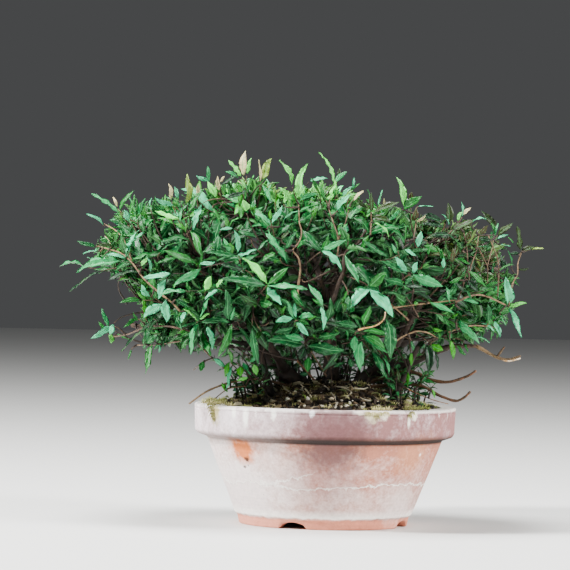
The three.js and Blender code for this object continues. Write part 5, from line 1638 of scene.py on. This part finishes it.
class JASMINE_OT_stage(bpy.types.Operator):
    """Makes the floor, the lights and the camera"""

    bl_idname = "jasmine.stage"
    bl_label = "Stage"

    def execute(self, context):
        props = context.scene.jasmine_stage
        foot = POT_FOOT * MM
        mesh = bpy.data.meshes.new("floor")
        mesh.from_pydata([(-6, -6, 0), (6, -6, 0), (6, 6, 0), (-6, 6, 0)], [], [(0, 1, 2, 3)])
        mesh.materials.append(floor_paint(props))
        floor = bpy.data.objects.new("floor", mesh)
        context.scene.collection.objects.link(floor)
        aimed_at = np.array([foot[0], foot[1], 0.12])
        for name, (place, size, share) in LIGHTS.items():
            data = bpy.data.lights.new(name, "AREA")
            data.shape = "DISK"
            data.size = size
            data.energy = props.key_power * share
            lamp = bpy.data.objects.new(name, data)
            context.scene.collection.objects.link(lamp)
            lamp.location = place
            x, y, z = aimed_at - np.array(place)
            rise = math.atan2(z, math.hypot(x, y))
            lamp.rotation_euler = (math.pi / 2 + rise, 0, math.atan2(y, x) - math.pi / 2)
        world = bpy.data.worlds.new("studio")
        world.use_nodes = True
        background = world.node_tree.nodes["Background"]
        background.inputs["Color"].default_value = (0.86, 0.88, 0.9, 1)
        background.inputs["Strength"].default_value = 0.08
        context.scene.world = world
        # A long lens in front, turned up from looking straight down, and rolled about its line of sight
        camera = bpy.data.objects.new("camera", bpy.data.cameras.new("camera"))
        context.scene.collection.objects.link(camera)
        camera.data.lens = LENS
        camera.data.sensor_width = FILM
        camera.data.clip_end = 100
        camera.location = (foot[0] + EYE[0] * MM, foot[1] - props.distance, EYE[1] * MM)
        pitch = Euler((math.pi / 2 + math.radians(PITCH), 0, 0)).to_matrix()
        camera.rotation_euler = (pitch @ Matrix.Rotation(math.radians(ROLL), 3, "Z")).to_euler()
        context.scene.camera = camera
        return {"FINISHED"}


class JASMINE_OT_pot(bpy.types.Operator):
    """Turns the pot with its rounded rim, its incised line and the notches of its foot"""

    bl_idname = "jasmine.pot"
    bl_label = "Pot"

    def execute(self, context):
        props = context.scene.jasmine_pot
        add_piece("pot_turned", pot_shape(props.sides), terracotta(props), ["pot"])
        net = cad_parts["drainage_mesh"]
        net.data.materials.clear()
        net.data.materials.append(mesh_plastic())
        return {"FINISHED"}


class JASMINE_OT_soil(bpy.types.Operator):
    """Fills the pot with soil and strews grit, moss and litter over it"""

    bl_idname = "jasmine.soil"
    bl_label = "Soil and moss"

    def execute(self, context):
        props = context.scene.jasmine_soil
        material = potting_soil(props)
        shape = soil_shape()
        tone = np.tile([0.3, 0.0, 0.0, 1.0], (len(shape[0]), 1))
        add_piece("soil_mound", shape, material, ["soil"], tone=tone)
        shape, tone = grains(props.grain_count)
        add_piece("soil_grit", shape, material, tone=tone, smoothed=False)
        self.add_moss(moss_leafage(props))
        self.add_litter(material)
        return {"FINISHED"}

    def add_moss(self, material):
        """Tufts on the soil's front as seen, on the rim and hanging over it, and more strewn all round."""
        seen = np.concatenate([on_soil(MOSS_SEEN[:, :2], -0.6), MOSS_SEEN[:, 2:]], axis=1)
        i = np.arange(60)
        r, a = disc(60, 72)
        x, y = polar(r, a + 1.7)
        strewn = np.stack([x, y, soil_top(x, y) - 1.2, 1.4 + 2.6 * hashed(i, 70), hashed(i, 71)], -1)
        lying, lying_tone = moss_spikes([*seen, *MOSS_ON_RIM, *strewn], 72, 2.8, 0.9, np.zeros(3))
        down, down_tone = moss_spikes(MOSS_HANGING, 75, 3.2, 0.8, np.array([0.0, -0.9, -2.6]))
        tone = np.concatenate([lying_tone, down_tone])
        add_piece("moss_tufts", joined([lying, down]), material, tone=tone)

    def add_litter(self, material):
        """Straws and bits of dead stem that lie on the soil, the seen ones first."""
        i = np.arange(330)
        x, y = polar(74 * np.sqrt(hashed(i, 80)), 2 * math.pi * hashed(i, 81))
        long = (2 + 6 * hashed(i, 82))[:, None]
        right, up = (part[:, None] for part in polar(1.0, 2 * math.pi * hashed(i, 83)))
        share = np.linspace(-1, 1, 7)
        bend = 0.35 * (hashed(i, 87) - 0.5)[:, None] * (1 - share**2) * long
        px = x[:, None] + long * share * right - bend * up
        py = y[:, None] + long * share * up + bend * right
        inside = np.minimum(1, SOIL["strewn"] / np.hypot(px, py))
        px, py = px * inside, py * inside
        tilt = 0.4 + 0.6 * share * (hashed(i, 88)[:, None] - 0.5)
        pz = soil_top(px, py) + 0.6 + 2.2 * hashed(i, 84)[:, None] * tilt
        strewn = np.stack([px, py, pz], -1)
        seen = np.array([spline(on_soil(path, 1.4), 7) for path in STRAWS_SEEN])
        thick = np.concatenate([np.full(len(seen), 0.6), 0.2 + 0.35 * hashed(i, 85) ** 1.5])
        own = np.concatenate([np.full(len(seen), 0.93), 0.50 + 0.45 * hashed(i, 86) ** 1.1])
        shape, tone = straws(np.concatenate([seen, strewn]), thick, own)
        add_piece("soil_litter", shape, material, tone=tone)


class JASMINE_OT_wood(bpy.types.Operator):
    """Grows the stems, the flared root crown, the runners, the dead sticks and the stems between the
    leaves"""

    bl_idname = "jasmine.wood"
    bl_label = "Stems and runners"

    def execute(self, context):
        props = context.scene.jasmine_wood
        material = jasmine_bark(props)
        radii, points = zip(*STEMS.values())
        # Near black at the foot: partly old bark, partly painted shade of the crown over the stems
        shades = [(0.04, 0.26)] * len(radii)
        stems, stem_tones = stem_tubes(points, radii, shades, props.sides, props.ring_spacing)
        crown, crown_tones = root_crown()
        radii, shades, points = zip(*RUNNERS.values())
        runners, runner_tones = stem_tubes(points, radii, shades, 10, props.ring_spacing)
        seen = STEMS_SEEN.values()
        points = [placed(np.array(row[4], float), row[3]) for row in seen]
        radii = [(0.72 * row[0], 0.72 * row[1]) for row in seen]
        shades = [(row[2] - 0.12, row[2] - 0.05) for row in seen]
        twigs, twig_tones = stem_tubes(points, radii, shades, 8, props.ring_spacing, 0.3)
        shape = joined([stems, crown, runners, twigs])
        tone = np.concatenate([stem_tones, crown_tones, runner_tones, twig_tones])
        add_piece("stems", shape, material, ["wood"], tone=tone)
        return {"FINISHED"}


class JASMINE_OT_foliage(bpy.types.Operator):
    """Grows the shoots and their leaves, in six sectors of the crown"""

    bl_idname = "jasmine.foliage"
    bl_label = "Shoots and leaves"

    def execute(self, context):
        props = context.scene.jasmine_leaf
        solid_curves, solid_tips = leader_plan()
        carriers = solid_curves[:, 3:18].reshape(-1, 3)
        stems = np.concatenate([spline(points, 60) for _, points in STEMS.values()])
        carriers = np.concatenate([carriers, stems[stems[:, 2] > BARE_BELOW]])
        solid_curves, leafy = trimmed(solid_curves, 5.0)
        outer_tips, outer_ways = spiral_tips(props.outer_shoots, 0.97, 0.12, 100, 8.2, solid_tips)
        outer, whole = trimmed(grown_from(carriers, pulled_in(outer_tips, 5.0), outer_ways), 4.0)
        outer = outer[whole]
        inner_tips, inner_ways = spiral_tips(props.inner_shoots, 0.76, 0.18, 200, 8.0, outer_tips, 0.5, 1.2)
        inner, whole = trimmed(grown_from(carriers, pulled_in(inner_tips, 12.0), inner_ways), 8.0)
        inner = inner[whole]
        low = undergrowth(props.low_shoots)
        keys = [np.flatnonzero(leafy), 200 + np.arange(len(outer)), 700 + np.arange(len(inner))]
        tables = [
            leaf_table(
                np.concatenate([solid_curves[leafy], outer]),
                np.concatenate(keys[:2]),
                (0.8, 4.5, 10.5, 17.5, 25.0),
                (8.0, 13.5, 18.5, 22.0, 24.0),
                (18, 38, 52, 64, 76),
                (0.30, 0.42, 0.6, 0.8, 1.0),
            ),
            leaf_table(inner, keys[2], (3.0, 9.0, 16.0), (14.0, 18.0, 21.0), (42, 58, 74), (0.75, 0.9, 1.0)),
            leaf_table(
                low,
                1200 + np.arange(len(low)),
                (0.6, 4.0, 9.0, 15.0, 21.0, 28.0),
                (5.5, 8.0, 10.0, 10.5, 10.0, 9.0),
                (24, 50, 66, 76, 80, 84),
                (0.35, 0.6, 0.85, 1.0, 1.0, 1.0),
                1,
            ),
        ]
        posed = posed_leaves()
        leaves = {key: np.concatenate([table[key] for table in tables]) for key in tables[0]}
        leaves = cleared(leaves, posed)
        nodes, ways = nodes_of(posed, 4.0)
        seen = [placed(np.array(row[4], float), row[3]) for row in STEMS_SEEN.values()]
        seen_stems = np.concatenate([spline(points, 24) for points in seen])
        posed_curves = grown_from(np.concatenate([carriers, seen_stems]), nodes, ways, seen_stems)
        leaf_material = jasmine_leaf(props)
        sectors = self.sectors(leaves["base"])
        node_sectors = self.sectors(np.array([node_middle(name) for name in SPRAY_NODES]))
        for sector, name in enumerate(SECTORS):
            chosen = {key: value[sectors == sector] for key, value in leaves.items()}
            shape, uv, tone = blades(chosen, 7, 3)
            nodes = [node for node, own in zip(SPRAY_NODES, node_sectors) if own == sector]
            add_piece("leaves_" + name, shape, leaf_material, nodes, uv=uv, tone=tone)
        shape, uv, tone = blades(posed, 10, 4)
        add_piece("leaves_posed", shape, leaf_material, uv=uv, tone=tone)
        shape, uv, tone = blades(self.dead_leaves(), 8, 4)
        add_piece("leaves_dead", shape, leaf_material, uv=uv, tone=tone)
        self.add_twigs(context, np.concatenate([solid_curves, outer, inner, posed_curves, low]))
        return {"FINISHED"}

    def dead_leaves(self):
        """Cream and olive leaves that lie on the soil, the seen ones first."""
        i = np.arange(18)
        r, a = disc(18, 70)
        foot = np.stack([*polar(r, a + 0.8), 0 * r], -1)
        tip = foot + np.stack([*polar(4 + 5 * hashed(i, 92), 2 * math.pi * hashed(i, 91)), 0 * r], -1)
        inside = np.minimum(1, 74 / np.linalg.norm(tip, axis=1))[:, None]
        tip = tip * inside
        for ends in (foot, tip):
            ends[:, 2] = soil_top(ends[:, 0], ends[:, 1]) + 0.8 + 2.2 * hashed(i, 93)
        foot = np.concatenate([on_soil(DEAD_LEAVES_SEEN[:, :2], 1.2), foot])
        tip = np.concatenate([on_soil(DEAD_LEAVES_SEEN[:, 2:], 2.4), tip])
        number = 90000.0 + 11 * np.arange(len(foot))
        seen = np.arange(len(foot)) < len(DEAD_LEAVES_SEEN)
        length = np.linalg.norm(tip - foot, axis=1)
        direction = (tip - foot) / length[:, None]
        length = np.minimum(length, 13)
        face = unit(UP - direction * direction[:, 2:])
        return {
            "base": foot,
            "direction": direction,
            "face": turned(face, direction, 1.4 * (hashed(number, 1) - 0.5)),
            "length": length,
            "wide": 0.3 + 0 * length,
            "age": 0.2 + 0 * length,
            "pale": 0.05 + 0.2 * hashed(number, 2) + 0.3 * seen,
            "warm": 0.55 + 0.3 * hashed(number, 3) + 0.1 * seen,
            "number": number,
        }

    def sectors(self, points):
        """Which sixth of the crown, by azimuth about its centre, each point is in."""
        offset = (points - CENTRE)[:, :2] / REACH[:2]
        return np.floor(np.arctan2(offset[:, 1], offset[:, 0]) / (math.pi / 3)).astype(int) % 6

    def add_twigs(self, context, curves):
        """The shoots' own stems, from 1 mm of radius at the foot to 0.3 mm at the tip, browner at the tip."""
        curves = curves[:, ::2]
        share = np.linspace(0, 1, curves.shape[1])
        radii = np.repeat((1.0 - 0.7 * share**0.7)[None], len(curves), axis=0)
        shape = tubes(curves, radii, 5)
        number = hashed(np.arange(len(curves)), 90)[:, None]
        shade = 0.06 + 0.12 * number + (0.08 + 0.14 * number) * share
        material = jasmine_bark(context.scene.jasmine_wood)
        add_piece("twigs", shape, material, tone=ring_values(tones(shade), 5))


def node_middle(name):
    """The middle of a node's box, in millimetres about the pot's foot."""
    low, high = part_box(name)
    return (np.array(low) + np.array(high)) / 2 / MM - POT_FOOT


class JASMINE_PT_panel(bpy.types.Panel):
    """Lists the pieces and their settings"""

    bl_idname = "JASMINE_PT_panel"
    bl_label = "Asiatic jasmine bonsai"
    bl_space_type = "VIEW_3D"
    bl_region_type = "UI"
    bl_category = "Jasmine"

    def draw(self, context):
        for operator, group in PIECES:
            box = self.layout.box()
            box.operator(operator)
            settings = getattr(context.scene, group)
            for key in settings.__annotations__:
                box.prop(settings, key)


PIECES = (
    ("jasmine.stage", "jasmine_stage"),
    ("jasmine.pot", "jasmine_pot"),
    ("jasmine.soil", "jasmine_soil"),
    ("jasmine.wood", "jasmine_wood"),
    ("jasmine.foliage", "jasmine_leaf"),
)
SETTINGS = {
    "jasmine_stage": StageSettings,
    "jasmine_pot": PotSettings,
    "jasmine_soil": SoilSettings,
    "jasmine_wood": WoodSettings,
    "jasmine_leaf": LeafSettings,
}
CLASSES = (
    *SETTINGS.values(),
    JASMINE_OT_stage,
    JASMINE_OT_pot,
    JASMINE_OT_soil,
    JASMINE_OT_wood,
    JASMINE_OT_foliage,
    JASMINE_PT_panel,
)


def register():
    for cls in CLASSES:
        bpy.utils.register_class(cls)
    for name, group in SETTINGS.items():
        setattr(bpy.types.Scene, name, bpy.props.PointerProperty(type=group))


def unregister():
    for name in SETTINGS:
        delattr(bpy.types.Scene, name)
    for cls in reversed(CLASSES):
        bpy.utils.unregister_class(cls)


def main():
    """Makes every piece."""
    register()
    for operator, _ in PIECES:
        family, verb = operator.split(".")
        getattr(getattr(bpy.ops, family), verb)()


if __name__ == "__main__":
    main()
